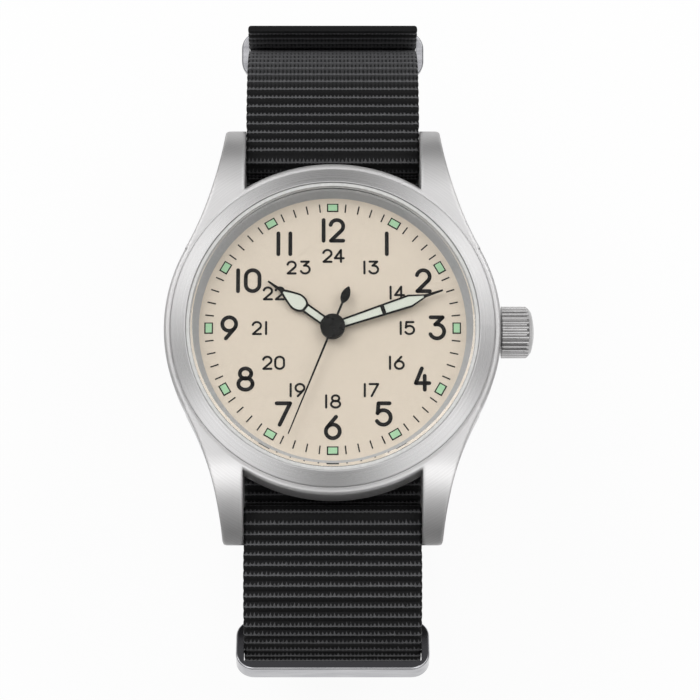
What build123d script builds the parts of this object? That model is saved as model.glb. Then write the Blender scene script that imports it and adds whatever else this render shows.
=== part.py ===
"""A field watch with a quartz movement, on a one-piece webbing strap closed as it is worn.

Millimetres. The dial looks up (+Z), twelve o'clock is +Y and the crown is +X. The origin is on
the axis of the hands, at the centre of the opening that the wrist goes through.
"""
from build123d import *
import math
import os

os.makedirs("parts", exist_ok=True)

# Case
case_radius = 19.05
case_height = 7.1
case_foot_inset = 1.45
case_foot_radius = case_radius - case_foot_inset
case_flank_height = 2.2
case_rim_chamfer = 0.3
wrist_to_back = 19.0
back_thickness = 1.0
back_inset = 2.05
back_radius = case_radius - back_inset
back_rim_chamfer = 0.35
back_neck_height = 1.2
back_neck_wall = 1.2
back_notch_width = 2.4
back_notch_depth = 0.5
back_notch_count = 6
case_wall = 3.15
case_bore_radius = case_radius - case_wall
slip_gap = 0.05
seal_groove_inset = 0.3
seal_groove_radius = case_bore_radius + seal_groove_inset
seal_groove_width = 0.6
seal_groove_depth = 0.5
seal_squeeze = 0.1

# Lugs
lug_gap = 20.1
lug_reach = 5.1
lug_tip_y = case_radius + lug_reach
lug_tip_width = 2.3
lug_root_angle = 28.5
lug_root_run = 14.15
lug_root_y = lug_tip_y - lug_root_run
lug_crest_run = 9.55
lug_crest_y = lug_tip_y - lug_crest_run
lug_tip_height = 2.95
lug_tip_lean = 0.6
lug_foot_drop = 0.9
lug_heel_start = 8.65
lug_heel_y = lug_tip_y - lug_heel_start
lug_heel_run = 3.0
lug_corner_radius = 0.55
lug_hole_depth = 1.1

# Spring bars
bar_case_gap = 2.25
bar_y = case_radius + bar_case_gap
bar_height = 2.2
bar_radius = 0.75
bar_pivot_radius = 0.4
bar_pivot_gap = 0.05
bar_pivot_length = 1.0
bar_collar_width = 0.7
bar_neck_radius = 0.6

# Bezel, crystal and inner flange
bezel_inset = 0.75
bezel_radius = case_radius - bezel_inset
bezel_face_width = 1.76
bezel_bore_radius = bezel_radius - bezel_face_width
bezel_height = 1.3
bezel_wall_height = 0.45
bezel_lip_width = 0.12
bezel_edge_chamfer = 0.08
bezel_line_width = 0.12
bezel_line_depth = 0.15
bezel_neck_depth = 0.7
bezel_neck_inset = 1.1
bezel_neck_radius = bezel_radius - bezel_neck_inset
bezel_neck_wall = 0.6
crystal_inset = 2.24
crystal_radius = bezel_radius - crystal_inset
crystal_edge_height = 0.95
crystal_bevel = 0.3
crystal_dome_rise = 0.4
gasket_height = 0.85
flange_seat_depth = 1.15
flange_height = 1.45
flange_lip_inset = 0.2
flange_lip_radius = crystal_radius - flange_lip_inset
flange_slope_width = 0.8
flange_foot_radius = flange_lip_radius - flange_slope_width

# Dial
dial_edge_gap = 0.1
dial_radius = case_bore_radius - dial_edge_gap
dial_thickness = 0.4
dial_hole_radius = 1.1
dial_foot_radius = 0.4
dial_foot_length = 1.5
dial_foot_inset = 1.5
dial_foot_ring_radius = dial_radius - dial_foot_inset
dial_foot_angles = (35.0, 215.0)
plot_width = 1.02
plot_length = 0.69
plot_height = 0.12
plot_inset = 1.11
plot_ring_radius = flange_foot_radius - plot_inset
plot_count = 12

# Hands, as turned clockwise from twelve o'clock
hour_angle = 306.0
minute_angle = 71.25
second_angle = 202.05
hand_thickness = 0.15
lume_thickness = 0.11
hand_border = 0.22
hour_hand_lift = 0.4
minute_hand_lift = 0.7
second_hand_lift = 1.0
hour_length = 9.0
hour_width = 2.0
hour_stem_width = 1.12
hour_bar_width = 0.3
hour_leaf_start = 3.8
hour_leaf_swell = 4.25
hour_leaf_wide = 4.95
hour_leaf_taper = 5.35
hour_needle_start = 7.3
hour_hub_radius = 1.38
minute_tip_inset = 0.85
minute_length = plot_ring_radius - minute_tip_inset
minute_width = 1.5
minute_root_width = 1.0
minute_wide = 9.2
minute_needle_start = 11.05
minute_bar_at = 6.0
minute_bar_width = 0.45
minute_hub_radius = 1.1
window_hub_gap = 0.1
needle_width = 0.36
needle_tip_width = 0.2
second_tip_inset = 0.75
second_length = plot_ring_radius - second_tip_inset
second_width = 0.26
second_tip_width = 0.13
second_tail_start = 2.9
second_tail_swell = 3.25
second_tail_wide = 3.8
second_tail_taper = 4.4
second_tail_end = 4.9
second_tail_width = 1.0
second_cap_radius = 1.4
second_cap_height = 0.26
second_pin_radius = 0.2
second_pin_height = 0.08
second_blade_thickness = 0.12

# Crown, stem and tube
crown_radius = 2.95
crown_root_radius = 2.7
crown_case_gap = 0.1
crown_start_x = case_radius + crown_case_gap
crown_grip_length = 2.75
crown_shoulder_radius = 2.3
crown_shoulder_length = 0.6
crown_cap_length = 0.35
crown_flute_count = 32
crown_flute_radius = 0.22
crown_recess_depth = 1.6
crown_recess_radius = 1.6
crown_travel = 1.0
crown_seal_width = 0.5
crown_seal_inset = 0.25
tube_radius = 1.2
tube_bore_radius = 0.55
tube_bore_gap = 0.05
tube_start_x = case_bore_radius + tube_bore_gap
tube_reach = 1.5
tube_end_x = case_radius + tube_reach
stem_radius = 0.45
stem_end_x = 6.9
stem_groove_radius = 0.28
stem_groove_start_x = 9.1
stem_groove_end_x = 10.85
running_gap = 0.03
clutch_radius = 0.75
clutch_start_x = 7.2
clutch_length = 1.6
clutch_teeth = 12
lever_pin_radius = 0.18
lever_thickness = 0.3
lever_width = 1.5
lever_length = 4.4

# Movement
plate_radius = 12.8
plate_thickness = 1.6
plate_height = 4.2
plate_gap = 0.1
holder_ledge_width = 0.6
holder_ledge_height = 0.5
holder_stem_hole_radius = 0.7
stem_slot_width = 1.9
train_gap = 1.4
bridge_thickness = 0.7
post_radius = 0.8
post_places = ((-7.4, -7.0), (4.9, 3.2), (-5.9, 4.2))
screw_radius = 0.35
screw_head_radius = 0.65
screw_head_height = 0.25
screw_grip = 0.8
arbor_radius = 0.25
pivot_radius = 0.12
pivot_gap = 0.03
pivot_length = 0.3
endshake = 0.04
wheel_thickness = 0.15
pinion_height = 0.28
addendum_share = 0.7
dedendum_share = 1.2
tooth_tip_share = 0.1
tooth_root_share = 0.27
train_module = 0.1235
centre_module = 0.1167
step_module = 0.11
rotor_module = 0.1
third_angle = 225.0
intermediate_angle = 90.0
rotor_angle = 60.0
train_pinion_teeth = 8
third_teeth = 60
seconds_teeth = 60
centre_teeth = 64
intermediate_teeth = 48
rotor_teeth = 12
seconds_wheel_lift = 0.15
seconds_pinion_lift = 0.4
third_wheel_lift = 0.45
third_pinion_lift = 0.9
centre_wheel_lift = 0.97
intermediate_pinion_lift = 0.09
intermediate_wheel_lift = 0.5
rotor_pinion_lift = 0.44
magnet_radius = 0.75
magnet_height = 0.3
magnet_lift = 0.98
seconds_arbor_radius = 0.15
centre_arbor_radius = 0.4
centre_bore_radius = 0.2
centre_arbor_reach = 1.2
cannon_teeth = 12
cannon_module = 0.125
minute_wheel_teeth = 36
minute_pinion_teeth = 10
hour_wheel_teeth = 40
hour_module = 0.12
minute_wheel_angle = 0.0
cannon_tube_radius = 0.56
cannon_lift = 0.07
minute_pinion_lift = 0.32
hour_wheel_lift = 0.38
motion_pinion_height = 0.24
hour_pipe_radius = 0.95
cell_radius = 3.9
cell_height = 2.1
cell_place = (7.0, -4.3)
cell_pocket_depth = 0.25
cell_pocket_gap = 0.2
clamp_thickness = 0.2
clamp_width = 2.0
clamp_foot_place = (1.6, -9.2)
board_inner_radius = 5.2
board_outer_radius = 11.8
board_thickness = 0.35
board_start_angle = 140.0
board_end_angle = 250.0
board_post_gap = 0.2
can_radius = 0.75
can_length = 5.5
can_x = -9.5
can_lead_length = 0.8
can_lead_radius = 0.12
coil_y = 9.6
coil_width = 1.8
coil_height = 0.9
coil_corner_radius = 0.3
coil_half_length = 3.0
coil_flange_width = 0.35
coil_flange_height = 1.1
coil_core_length = 10.0
coil_core_width = 1.2
coil_core_height = 0.4
stator_thickness = 0.4
stator_eye_radius = 1.9
stator_arm_width = 1.2
stator_foot_x = 4.1
stator_rotor_gap = 0.12

# Webbing and the closed loop of the strap
web_width = 20.0
web_thickness = 1.0
layer_gap = 0.15
slot_bend_radius = 1.5
bar_wrap_gap = 0.15
wrist_depth = 16.3
front_slope = 12.0
front_blend_radius = 11.5
front_side_radius = 23.7
front_reach_past_lugs = 13.2
front_side_y = lug_tip_y + front_reach_past_lugs - front_side_radius
rear_slope = 8.0
rear_blend_radius = 9.8
rear_side_radius = 19.4
rear_reach_past_lugs = 12.25
rear_reach = lug_tip_y + rear_reach_past_lugs
lining_blend_radius = 6.0
lining_start_turn = 10.5
return_end_turn = 16.5
tail_below_bend = 1.68
tail_flick_radius = 6.0
tail_flick_turn = 25.0
tail_free_length = 2.5
tail_corner = 0.8
head_ring_slope = 62.5
lining_slack = 0.5
lining_return_length = 5.0
strap_hole_pitch = 7.0
strap_hole_radius = 1.0
tail_hole_count = 3
rear_hole_count = 3

# Rings and keepers
ring_wall = 1.0
ring_length = 2.0
ring_gap = 0.2
ring_side_gap = 0.1
ring_side_wall = 0.88
ring_edge_radius = 0.22
ring_corner_radius = 2.1
ring_inner_corner_radius = 0.35
head_ring_opening = 4.6
head_ring_lining_gap = 0.3
keeper_below_bend = 4.68
keeper_from_bend = 0.2
keeper_gap = 0.1

# Buckle
buckle_bar_y = 2.5
buckle_bar_radius = 0.75
buckle_bar_gap = 0.1
buckle_front_y = -8.7
buckle_front_width = 2.4
buckle_front_height = 2.0
buckle_rail_width = 2.2
buckle_rail_gap = 0.3
buckle_rear_reach = 1.9
buckle_bevel = 0.5
buckle_corner_radius = 2.0
tongue_width = 1.6
tongue_thickness = 0.9
tongue_ring_wall = 0.55
tongue_lean = 235.0
tongue_tip_inset = 0.5
tongue_sink = 0.05
tongue_notch_gap = 0.15
tongue_side_gap = 0.35
tongue_hole_length = 3.5
tongue_hole_start_y = -0.8
strap_slot_gap = 0.6
drop_start_y = -7.6
drop_end_y = -0.7

# One overrun serves every cut
overrun = 1.0

# Heights of the head, from the case back up
back_z = wrist_to_back
case_low_z = back_z + back_thickness
case_top_z = case_low_z + case_height
bar_z = back_z + bar_height
lug_low_z = case_low_z - lug_foot_drop
plate_low_z = back_z + plate_height
plate_top_z = plate_low_z + plate_thickness
bridge_top_z = plate_low_z - train_gap
bridge_low_z = bridge_top_z - bridge_thickness
dial_top_z = case_top_z - flange_seat_depth
dial_low_z = dial_top_z - dial_thickness
flange_top_z = dial_top_z + flange_height
bezel_top_z = case_top_z + bezel_height
crown_z = plate_low_z + plate_thickness / 2
lug_inner_x = lug_gap / 2
hub_top_z = dial_top_z + second_hand_lift

# Layers of the webbing, as distances from the wrist's centre
layer_step = web_thickness + layer_gap
bar_wrap_radius = bar_radius + bar_wrap_gap + web_thickness / 2
under_z = back_z - layer_gap - web_thickness / 2
lining_z = under_z - layer_step
floor_z = -(wrist_depth + web_thickness / 2)
tail_z = floor_z - layer_step
bar_fold_radius = buckle_bar_radius + buckle_bar_gap + web_thickness / 2
buckle_bar_z = floor_z + bar_fold_radius
return_z = floor_z + 2 * bar_fold_radius
rest_z = tail_z - web_thickness / 2 - keeper_gap - ring_wall
front_side_z = floor_z + front_side_radius
rear_side_z = floor_z + rear_side_radius


def polar(centre, radius, degrees):
    """The point at a radius and an angle from a centre."""
    turn = math.radians(degrees)
    return (centre[0] + radius * math.cos(turn), centre[1] + radius * math.sin(turn))


def blend_centre(through, slope, towards, circle, circle_radius, radius):
    """Centre of the arc that leaves a falling line and joins a larger circle from inside."""
    turn = math.radians(slope)
    normal = (-towards * math.sin(turn), -math.cos(turn))
    along = (towards * math.cos(turn), -math.sin(turn))
    start = (through[0] + radius * normal[0], through[1] + radius * normal[1])
    reach = (start[0] - circle[0], start[1] - circle[1])
    half = reach[0] * along[0] + reach[1] * along[1]
    rest = reach[0] ** 2 + reach[1] ** 2 - (circle_radius - radius) ** 2
    step = -half + math.sqrt(half ** 2 - rest)
    return (start[0] + step * along[0], start[1] + step * along[1])


def bearing(start, end):
    """The direction from one point to another, in degrees."""
    return math.degrees(math.atan2(end[1] - start[1], end[0] - start[0]))


def outline(points, plane=Plane.XZ):
    """A flat face from the corner points of its outline."""
    with BuildSketch(plane) as shape:
        with BuildLine():
            Polyline(*points, close=True)
        make_face()
    return shape.sketch


def ring_section(inner, outer, low, high):
    """The cut face of a plain ring about the watch axis."""
    return outline([(inner, low), (outer, low), (outer, high), (inner, high)])


def gear(teeth, module, tooth_angle, place, height):
    """A flat-sided gear outline at a height, with one tooth centred on tooth_angle."""
    root = module * (teeth / 2 - dedendum_share)
    tip = module * (teeth / 2 + addendum_share)
    corners = ((root, -tooth_root_share), (tip, -tooth_tip_share), (tip, tooth_tip_share),
               (root, tooth_root_share))
    points = []
    for tooth in range(teeth):
        for radius, share in corners:
            points.append(polar(place, radius, tooth_angle + (tooth + share) * 360 / teeth))
    return outline(points, Plane.XY.offset(height))


def gap_angle(teeth, angle):
    """The tooth angle that leaves a gap centred on an angle."""
    return angle + 180 / teeth


def disc(place, radius, height):
    """A round face at a height."""
    with BuildSketch(Plane.XY.offset(height)) as shape:
        with Locations(place):
            Circle(radius)
    return shape.sketch


def annulus(place, radius, bore, height):
    """A round face with a bore, at a height."""
    with BuildSketch(Plane.XY.offset(height)) as shape:
        with Locations(place):
            Circle(radius)
            Circle(bore, mode=Mode.SUBTRACT)
    return shape.sketch


def shifted(step, side):
    """One stretch of a route, moved sideways: to the left of its run where side is positive."""
    if step[0] == "line":
        start, end = step[1], step[2]
        run = math.dist(start, end)
        across = (-(end[1] - start[1]) / run * side, (end[0] - start[0]) / run * side)
        return ("line", (start[0] + across[0], start[1] + across[1]),
                (end[0] + across[0], end[1] + across[1]))
    centre, radius, start_angle, sweep = step[1:]
    inward = side if sweep > 0 else -side
    return ("arc", centre, radius - inward, start_angle, sweep)


def ends(step):
    """The first and last point of a stretch."""
    if step[0] == "line":
        return step[1], step[2]
    centre, radius, start_angle, sweep = step[1:]
    return polar(centre, radius, start_angle), polar(centre, radius, start_angle + sweep)


def web_section(route, thickness):
    """The long edge-on face of a band of webbing that follows a route in the YZ plane."""
    left = [shifted(step, thickness / 2) for step in route]
    right = [shifted(step, -thickness / 2) for step in route]
    with BuildSketch(Plane.YZ) as band:
        with BuildLine():
            for step in left + right:
                if step[0] == "line":
                    Line(step[1], step[2])
                else:
                    CenterArc(*step[1:])
            Line(ends(left[0])[0], ends(right[0])[0])
            Line(ends(left[-1])[1], ends(right[-1])[1])
        make_face()
    return band.sketch


def needle(points, turn, height):
    """A hand's mirrored outline, from (distance out, half width) points, turned clockwise."""
    there = [(half, out) for out, half in points]
    back = [(-half, out) for out, half in reversed(points)]
    return outline(there + back, Plane((0, 0, height), x_dir=(1, 0, 0)).rotated((0, 0, -turn)))


def leaf(places, bends, turn, height):
    """A hand's rounded leaf: base, widest, end as (distance out, half width), a bend each side."""
    base, wide, end = [(half, out) for out, half in places]
    with BuildSketch(Plane((0, 0, height), x_dir=(1, 0, 0)).rotated((0, 0, -turn))) as shape:
        with BuildLine():
            Bezier(base, (wide[0], bends[0]), wide)
            Bezier(wide, (wide[0], bends[1]), end)
            Polyline(end, (0, end[1]), (0, base[1]), base)
        make_face()
        mirror(about=Plane.YZ)
    return shape.sketch


def loop_plane(place, direction):
    """A plane across the webbing at a place in the YZ plane, with its x axis along the bars."""
    turn = math.radians(direction)
    return Plane((0, place[0], place[1]), x_dir=(1, 0, 0), z_dir=(0, math.cos(turn), math.sin(turn)))


# Mid case: the turned body, then the four lugs drawn in plan and cut to their side view
lug_tip_x = lug_inner_x + lug_tip_width
lug_root = polar((0, 0), case_radius, lug_root_angle)
lug_root_tangent = (-math.sin(math.radians(lug_root_angle)), math.cos(math.radians(lug_root_angle)))
lug_tip_z = lug_low_z + lug_tip_height + lug_corner_radius
with BuildPart() as mid_case:
    with BuildSketch(Plane.XY.offset(lug_low_z)) as lug_plan:
        with BuildLine():
            flank = TangentArc(lug_root, (lug_tip_x, lug_tip_y), tangent=lug_root_tangent)
            Polyline(flank @ 1, (lug_inner_x, lug_tip_y), (lug_inner_x, lug_root_y), lug_root)
        make_face()
        tip_corners = lug_plan.vertices().group_by(Axis.Y)[-1]
        fillet(tip_corners.sort_by(Axis.X)[-1], radius=lug_corner_radius)
        mirror(about=Plane.YZ)
        mirror(about=Plane.XZ)
    extrude(amount=case_top_z - lug_low_z)
    with BuildSketch(Plane.YZ):
        with BuildLine():
            crest = TangentArc((lug_crest_y, case_top_z), (lug_tip_y, lug_tip_z), tangent=(1, 0))
            Polyline(crest @ 1, (lug_tip_y - lug_tip_lean, lug_low_z + lug_corner_radius),
                     (lug_tip_y - lug_tip_lean - lug_corner_radius, lug_low_z),
                     (lug_heel_y + lug_heel_run, lug_low_z), (lug_heel_y, case_low_z), (0, case_low_z),
                     (0, case_top_z), (lug_crest_y, case_top_z))
        make_face()
        mirror(about=Plane.YZ)
    extrude(amount=case_radius, both=True, mode=Mode.INTERSECT)
    with BuildSketch(Plane.XZ):
        with BuildLine():
            flank_low = (case_foot_radius, case_low_z)
            flank_high = (case_radius, case_low_z + case_flank_height)
            TangentArc(flank_high, flank_low, tangent=(0, -1))
            Polyline(flank_high, (case_radius, case_top_z - case_rim_chamfer),
                     (case_radius - case_rim_chamfer, case_top_z), (0, case_top_z), (0, case_low_z),
                     flank_low)
        make_face()
    revolve(axis=Axis.Z)
    extrude(disc((0, 0), case_bore_radius, case_low_z), amount=case_height, mode=Mode.SUBTRACT)
    extrude(disc((0, 0), bezel_bore_radius - slip_gap, dial_top_z), amount=flange_seat_depth,
            mode=Mode.SUBTRACT)
    revolve(ring_section(bezel_radius, bezel_radius + bezel_line_width, case_top_z - bezel_line_depth,
                         case_top_z), axis=Axis.Z, mode=Mode.SUBTRACT)
    revolve(ring_section(seal_groove_radius, seal_groove_radius + seal_groove_width, case_low_z,
                         case_low_z + seal_groove_depth), axis=Axis.Z, mode=Mode.SUBTRACT)
    revolve(ring_section(bezel_neck_radius - slip_gap, bezel_neck_radius + bezel_neck_wall + slip_gap,
                         case_top_z - bezel_neck_depth - slip_gap, case_top_z),
            axis=Axis.Z, mode=Mode.SUBTRACT)
    with BuildSketch(Plane.YZ.offset(-lug_inner_x - lug_hole_depth)):
        with Locations((bar_y, bar_z), (-bar_y, bar_z)):
            Circle(bar_pivot_radius + bar_pivot_gap)
    extrude(amount=2 * (lug_inner_x + lug_hole_depth), mode=Mode.SUBTRACT)
    with BuildSketch(Plane.YZ.offset(case_bore_radius - overrun)):
        with Locations((0, crown_z)):
            Circle(tube_radius)
    extrude(amount=case_radius - case_bore_radius + 2 * overrun, mode=Mode.SUBTRACT)
mid_case.part.label = "mid_case"
export_step(mid_case.part, "parts/mid_case.step")

# Case back: a turned cover with its neck and six wrench notches
neck_radius = case_bore_radius - slip_gap
with BuildPart() as case_back:
    revolve(outline([(0, back_z), (back_radius - back_rim_chamfer, back_z),
                     (back_radius, back_z + back_rim_chamfer), (back_radius, case_low_z),
                     (neck_radius, case_low_z),
                     (neck_radius, case_low_z + back_neck_height),
                     (neck_radius - back_neck_wall, case_low_z + back_neck_height),
                     (neck_radius - back_neck_wall, case_low_z), (0, case_low_z)]), axis=Axis.Z)
    with BuildSketch(Plane.XY.offset(back_z)):
        with PolarLocations(back_radius, back_notch_count):
            Rectangle(2 * back_notch_width, back_notch_width)
    extrude(amount=back_notch_depth, mode=Mode.SUBTRACT)
case_back.part.label = "case_back"
export_step(case_back.part, "parts/case_back.step")

with BuildPart() as case_back_gasket:
    revolve(ring_section(seal_groove_radius + slip_gap, seal_groove_radius + seal_groove_width - slip_gap,
                         case_low_z, case_low_z + seal_groove_depth - seal_squeeze), axis=Axis.Z)
case_back_gasket.part.label = "case_back_gasket"
export_step(case_back_gasket.part, "parts/case_back_gasket.step")

# Bezel: a sloped ring with a neck in the case's groove
with BuildPart() as bezel:
    revolve(outline([(bezel_bore_radius, case_top_z), (bezel_neck_radius, case_top_z),
                     (bezel_neck_radius, case_top_z - bezel_neck_depth),
                     (bezel_neck_radius + bezel_neck_wall, case_top_z - bezel_neck_depth),
                     (bezel_neck_radius + bezel_neck_wall, case_top_z), (bezel_radius, case_top_z),
                     (bezel_radius, case_top_z + bezel_wall_height - bezel_edge_chamfer),
                     (bezel_radius - bezel_edge_chamfer, case_top_z + bezel_wall_height),
                     (bezel_bore_radius + bezel_lip_width, bezel_top_z),
                     (bezel_bore_radius, bezel_top_z)]), axis=Axis.Z)
bezel.part.label = "bezel"
export_step(bezel.part, "parts/bezel.step")

with BuildPart() as rehaut_ring:
    revolve(outline([(flange_foot_radius, dial_top_z), (bezel_bore_radius - 2 * slip_gap, dial_top_z),
                     (bezel_bore_radius - 2 * slip_gap, flange_top_z),
                     (flange_lip_radius, flange_top_z)]), axis=Axis.Z)
rehaut_ring.part.label = "rehaut_ring"
export_step(rehaut_ring.part, "parts/rehaut_ring.step")

with BuildPart() as crystal_gasket:
    revolve(ring_section(crystal_radius + slip_gap, bezel_bore_radius - slip_gap, flange_top_z,
                         flange_top_z + gasket_height), axis=Axis.Z)
crystal_gasket.part.label = "crystal_gasket"
export_step(crystal_gasket.part, "parts/crystal_gasket.step")

# Crystal: flat below, bevelled rim, low dome above
crystal_edge_z = flange_top_z + crystal_edge_height
crystal_rim = crystal_radius - crystal_bevel
with BuildPart() as crystal:
    with BuildSketch(Plane.XZ):
        with BuildLine():
            Polyline((0, crystal_edge_z + crystal_bevel + crystal_dome_rise), (0, flange_top_z),
                     (crystal_radius, flange_top_z), (crystal_radius, crystal_edge_z),
                     (crystal_rim, crystal_edge_z + crystal_bevel))
            TangentArc((0, crystal_edge_z + crystal_bevel + crystal_dome_rise),
                       (crystal_rim, crystal_edge_z + crystal_bevel), tangent=(1, 0))
        make_face()
    revolve(axis=Axis.Z)
crystal.part.label = "crystal"
export_step(crystal.part, "parts/crystal.step")

# Dial with its two feet, and the twelve luminous blocks
foot_places = [polar((0, 0), dial_foot_ring_radius, angle) for angle in dial_foot_angles]
with BuildPart() as dial:
    extrude(annulus((0, 0), dial_radius, dial_hole_radius, dial_low_z), amount=dial_thickness)
    for place in foot_places:
        extrude(disc(place, dial_foot_radius, dial_low_z - dial_foot_length), amount=dial_foot_length)
dial.part.label = "dial"
export_step(dial.part, "parts/dial.step")

with BuildPart() as hour_plots:
    with BuildSketch(Plane.XY.offset(dial_top_z)):
        with PolarLocations(plot_ring_radius, plot_count):
            Rectangle(plot_length, plot_width)
    extrude(amount=plot_height)
hour_plots.part.label = "hour_plots"
export_step(hour_plots.part, "parts/hour_plots.step")

# Movement holder: a moulded ring that carries the main plate and the dial
holder_low_z = case_low_z + back_neck_height
holder_outer = dial_radius
holder_inner = plate_radius + plate_gap
with BuildPart() as movement_ring:
    revolve(ring_section(holder_inner, holder_outer, holder_low_z, dial_low_z), axis=Axis.Z)
    revolve(ring_section(holder_inner - holder_ledge_width, holder_inner, plate_low_z - holder_ledge_height,
                         plate_low_z), axis=Axis.Z)
    for place in foot_places:
        extrude(disc(place, dial_foot_radius + slip_gap, dial_low_z - dial_foot_length - slip_gap),
                amount=dial_foot_length + slip_gap, mode=Mode.SUBTRACT)
    with BuildSketch(Plane.YZ.offset(holder_inner - holder_ledge_width)):
        with Locations((0, crown_z)):
            Circle(holder_stem_hole_radius)
    extrude(amount=holder_outer, mode=Mode.SUBTRACT)
movement_ring.part.label = "movement_ring"
export_step(movement_ring.part, "parts/movement_ring.step")

# Train places and the plate that carries them
third_reach = train_module * (third_teeth + train_pinion_teeth) / 2
third_place = polar((0, 0), third_reach, third_angle)
intermediate_reach = step_module * (seconds_teeth + train_pinion_teeth) / 2
intermediate_place = polar((0, 0), intermediate_reach, intermediate_angle)
rotor_reach = rotor_module * (intermediate_teeth + rotor_teeth) / 2
rotor_place = polar(intermediate_place, rotor_reach, rotor_angle)
motion_reach = cannon_module * (cannon_teeth + minute_wheel_teeth) / 2
minute_wheel_place = polar((0, 0), motion_reach, minute_wheel_angle)
pivot_places = (third_place, intermediate_place, rotor_place)
lever_pin_place = ((stem_groove_end_x + stem_groove_start_x + crown_travel) / 2,
                   stem_groove_radius + running_gap + lever_pin_radius)
screw_places = post_places + (clamp_foot_place,)
motion_post_radius = arbor_radius - running_gap
motion_post_height = minute_pinion_lift + motion_pinion_height
with BuildPart() as main_plate:
    extrude(disc((0, 0), plate_radius, plate_low_z), amount=plate_thickness)
    extrude(disc(minute_wheel_place, motion_post_radius, plate_top_z), amount=motion_post_height)
    extrude(disc((0, 0), centre_arbor_radius + pivot_gap, plate_low_z), amount=plate_thickness,
            mode=Mode.SUBTRACT)
    for place in pivot_places:
        extrude(disc(place, pivot_radius + pivot_gap, plate_low_z), amount=pivot_length + endshake,
                mode=Mode.SUBTRACT)
    for place in screw_places:
        extrude(disc(place, screw_radius, plate_low_z), amount=screw_grip, mode=Mode.SUBTRACT)
    extrude(disc(cell_place, cell_radius + cell_pocket_gap, plate_low_z), amount=cell_pocket_depth,
            mode=Mode.SUBTRACT)
    with BuildSketch(Plane.YZ.offset(stem_end_x)):
        with Locations((0, crown_z)):
            Circle(stem_radius + running_gap)
    extrude(amount=plate_radius, mode=Mode.SUBTRACT)
    with BuildSketch(Plane.XY.offset(plate_low_z)):
        with Locations((clutch_start_x + clutch_length / 2, 0)):
            Rectangle(clutch_length + stem_slot_width / 2, stem_slot_width)
    extrude(amount=plate_thickness, mode=Mode.SUBTRACT)
    extrude(disc(lever_pin_place, lever_pin_radius + pivot_gap, crown_z - stem_radius),
            amount=plate_thickness, mode=Mode.SUBTRACT)
main_plate.part.label = "main_plate"
export_step(main_plate.part, "parts/main_plate.step")

# Train bridge on its posts
with BuildPart() as train_bridge:
    with BuildSketch(Plane.XY.offset(bridge_low_z)) as bridge_plan:
        with Locations(*post_places, rotor_place):
            Circle(post_radius)
        make_hull(bridge_plan.edges())
    extrude(amount=bridge_thickness)
    for place in post_places:
        extrude(disc(place, post_radius, bridge_top_z), amount=train_gap)
    for place in post_places:
        extrude(disc(place, screw_radius, bridge_low_z), amount=bridge_thickness + train_gap,
                mode=Mode.SUBTRACT)
    for place in pivot_places + ((0, 0),):
        extrude(disc(place, pivot_radius + pivot_gap, bridge_top_z - pivot_length - endshake),
                amount=pivot_length + endshake, mode=Mode.SUBTRACT)
train_bridge.part.label = "train_bridge"
export_step(train_bridge.part, "parts/train_bridge.step")

# Coin cell with its clamp, whose foot hangs from the main plate
cell_top_z = plate_low_z + cell_pocket_depth
cell_low_z = cell_top_z - cell_height
clamp_low_z = cell_low_z - clamp_thickness
with BuildPart() as coin_cell:
    extrude(disc(cell_place, cell_radius, cell_low_z), amount=cell_height)
    chamfer(coin_cell.edges().filter_by(GeomType.CIRCLE), length=clamp_thickness)
coin_cell.part.label = "coin_cell"
export_step(coin_cell.part, "parts/coin_cell.step")

with BuildPart() as cell_clamp:
    with BuildSketch(Plane.XY.offset(clamp_low_z)) as clamp_plan:
        with Locations(cell_place, clamp_foot_place):
            Circle(clamp_width / 2)
        make_hull(clamp_plan.edges())
    extrude(amount=clamp_thickness)
    extrude(disc(clamp_foot_place, post_radius, cell_low_z), amount=plate_low_z - cell_low_z)
    extrude(disc(clamp_foot_place, screw_radius, clamp_low_z), amount=plate_low_z - clamp_low_z,
            mode=Mode.SUBTRACT)
cell_clamp.part.label = "cell_clamp"
export_step(cell_clamp.part, "parts/cell_clamp.step")

with BuildPart() as bridge_screws:
    for place in post_places:
        extrude(disc(place, screw_radius, bridge_low_z), amount=bridge_thickness + train_gap + screw_grip)
        extrude(disc(place, screw_head_radius, bridge_low_z - screw_head_height),
                amount=screw_head_height)
    extrude(disc(clamp_foot_place, screw_radius, clamp_low_z),
            amount=plate_low_z - clamp_low_z + screw_grip)
    extrude(disc(clamp_foot_place, screw_head_radius, clamp_low_z - screw_head_height),
            amount=screw_head_height)
bridge_screws.part.label = "bridge_screws"
export_step(bridge_screws.part, "parts/bridge_screws.step")

# Circuit board, a sector of a ring under the plate, and the quartz can below it
board_low_z = plate_low_z - board_thickness
with BuildPart() as circuit_board:
    with BuildSketch(Plane.XY.offset(board_low_z)):
        with BuildLine():
            sweep_angle = board_end_angle - board_start_angle
            outer_edge = CenterArc((0, 0), board_outer_radius, board_start_angle, sweep_angle)
            inner_edge = CenterArc((0, 0), board_inner_radius, board_start_angle, sweep_angle)
            Line(outer_edge @ 0, inner_edge @ 0)
            Line(outer_edge @ 1, inner_edge @ 1)
        make_face()
        with Locations(*post_places):
            Circle(post_radius + board_post_gap, mode=Mode.SUBTRACT)
    extrude(amount=board_thickness)
circuit_board.part.label = "circuit_board"
export_step(circuit_board.part, "parts/circuit_board.step")

with BuildPart() as quartz_can:
    with BuildSketch(Plane.XZ.offset(-can_length / 2)):
        with Locations((can_x, board_low_z - can_radius)):
            Circle(can_radius)
    extrude(amount=can_length)
    with BuildSketch(Plane.XZ.offset(can_length / 2)):
        with Locations((can_x - can_radius / 2, board_low_z - can_radius),
                       (can_x + can_radius / 2, board_low_z - can_radius)):
            Circle(can_lead_radius)
    extrude(amount=can_lead_length)
quartz_can.part.label = "quartz_can"
export_step(quartz_can.part, "parts/quartz_can.step")

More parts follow.
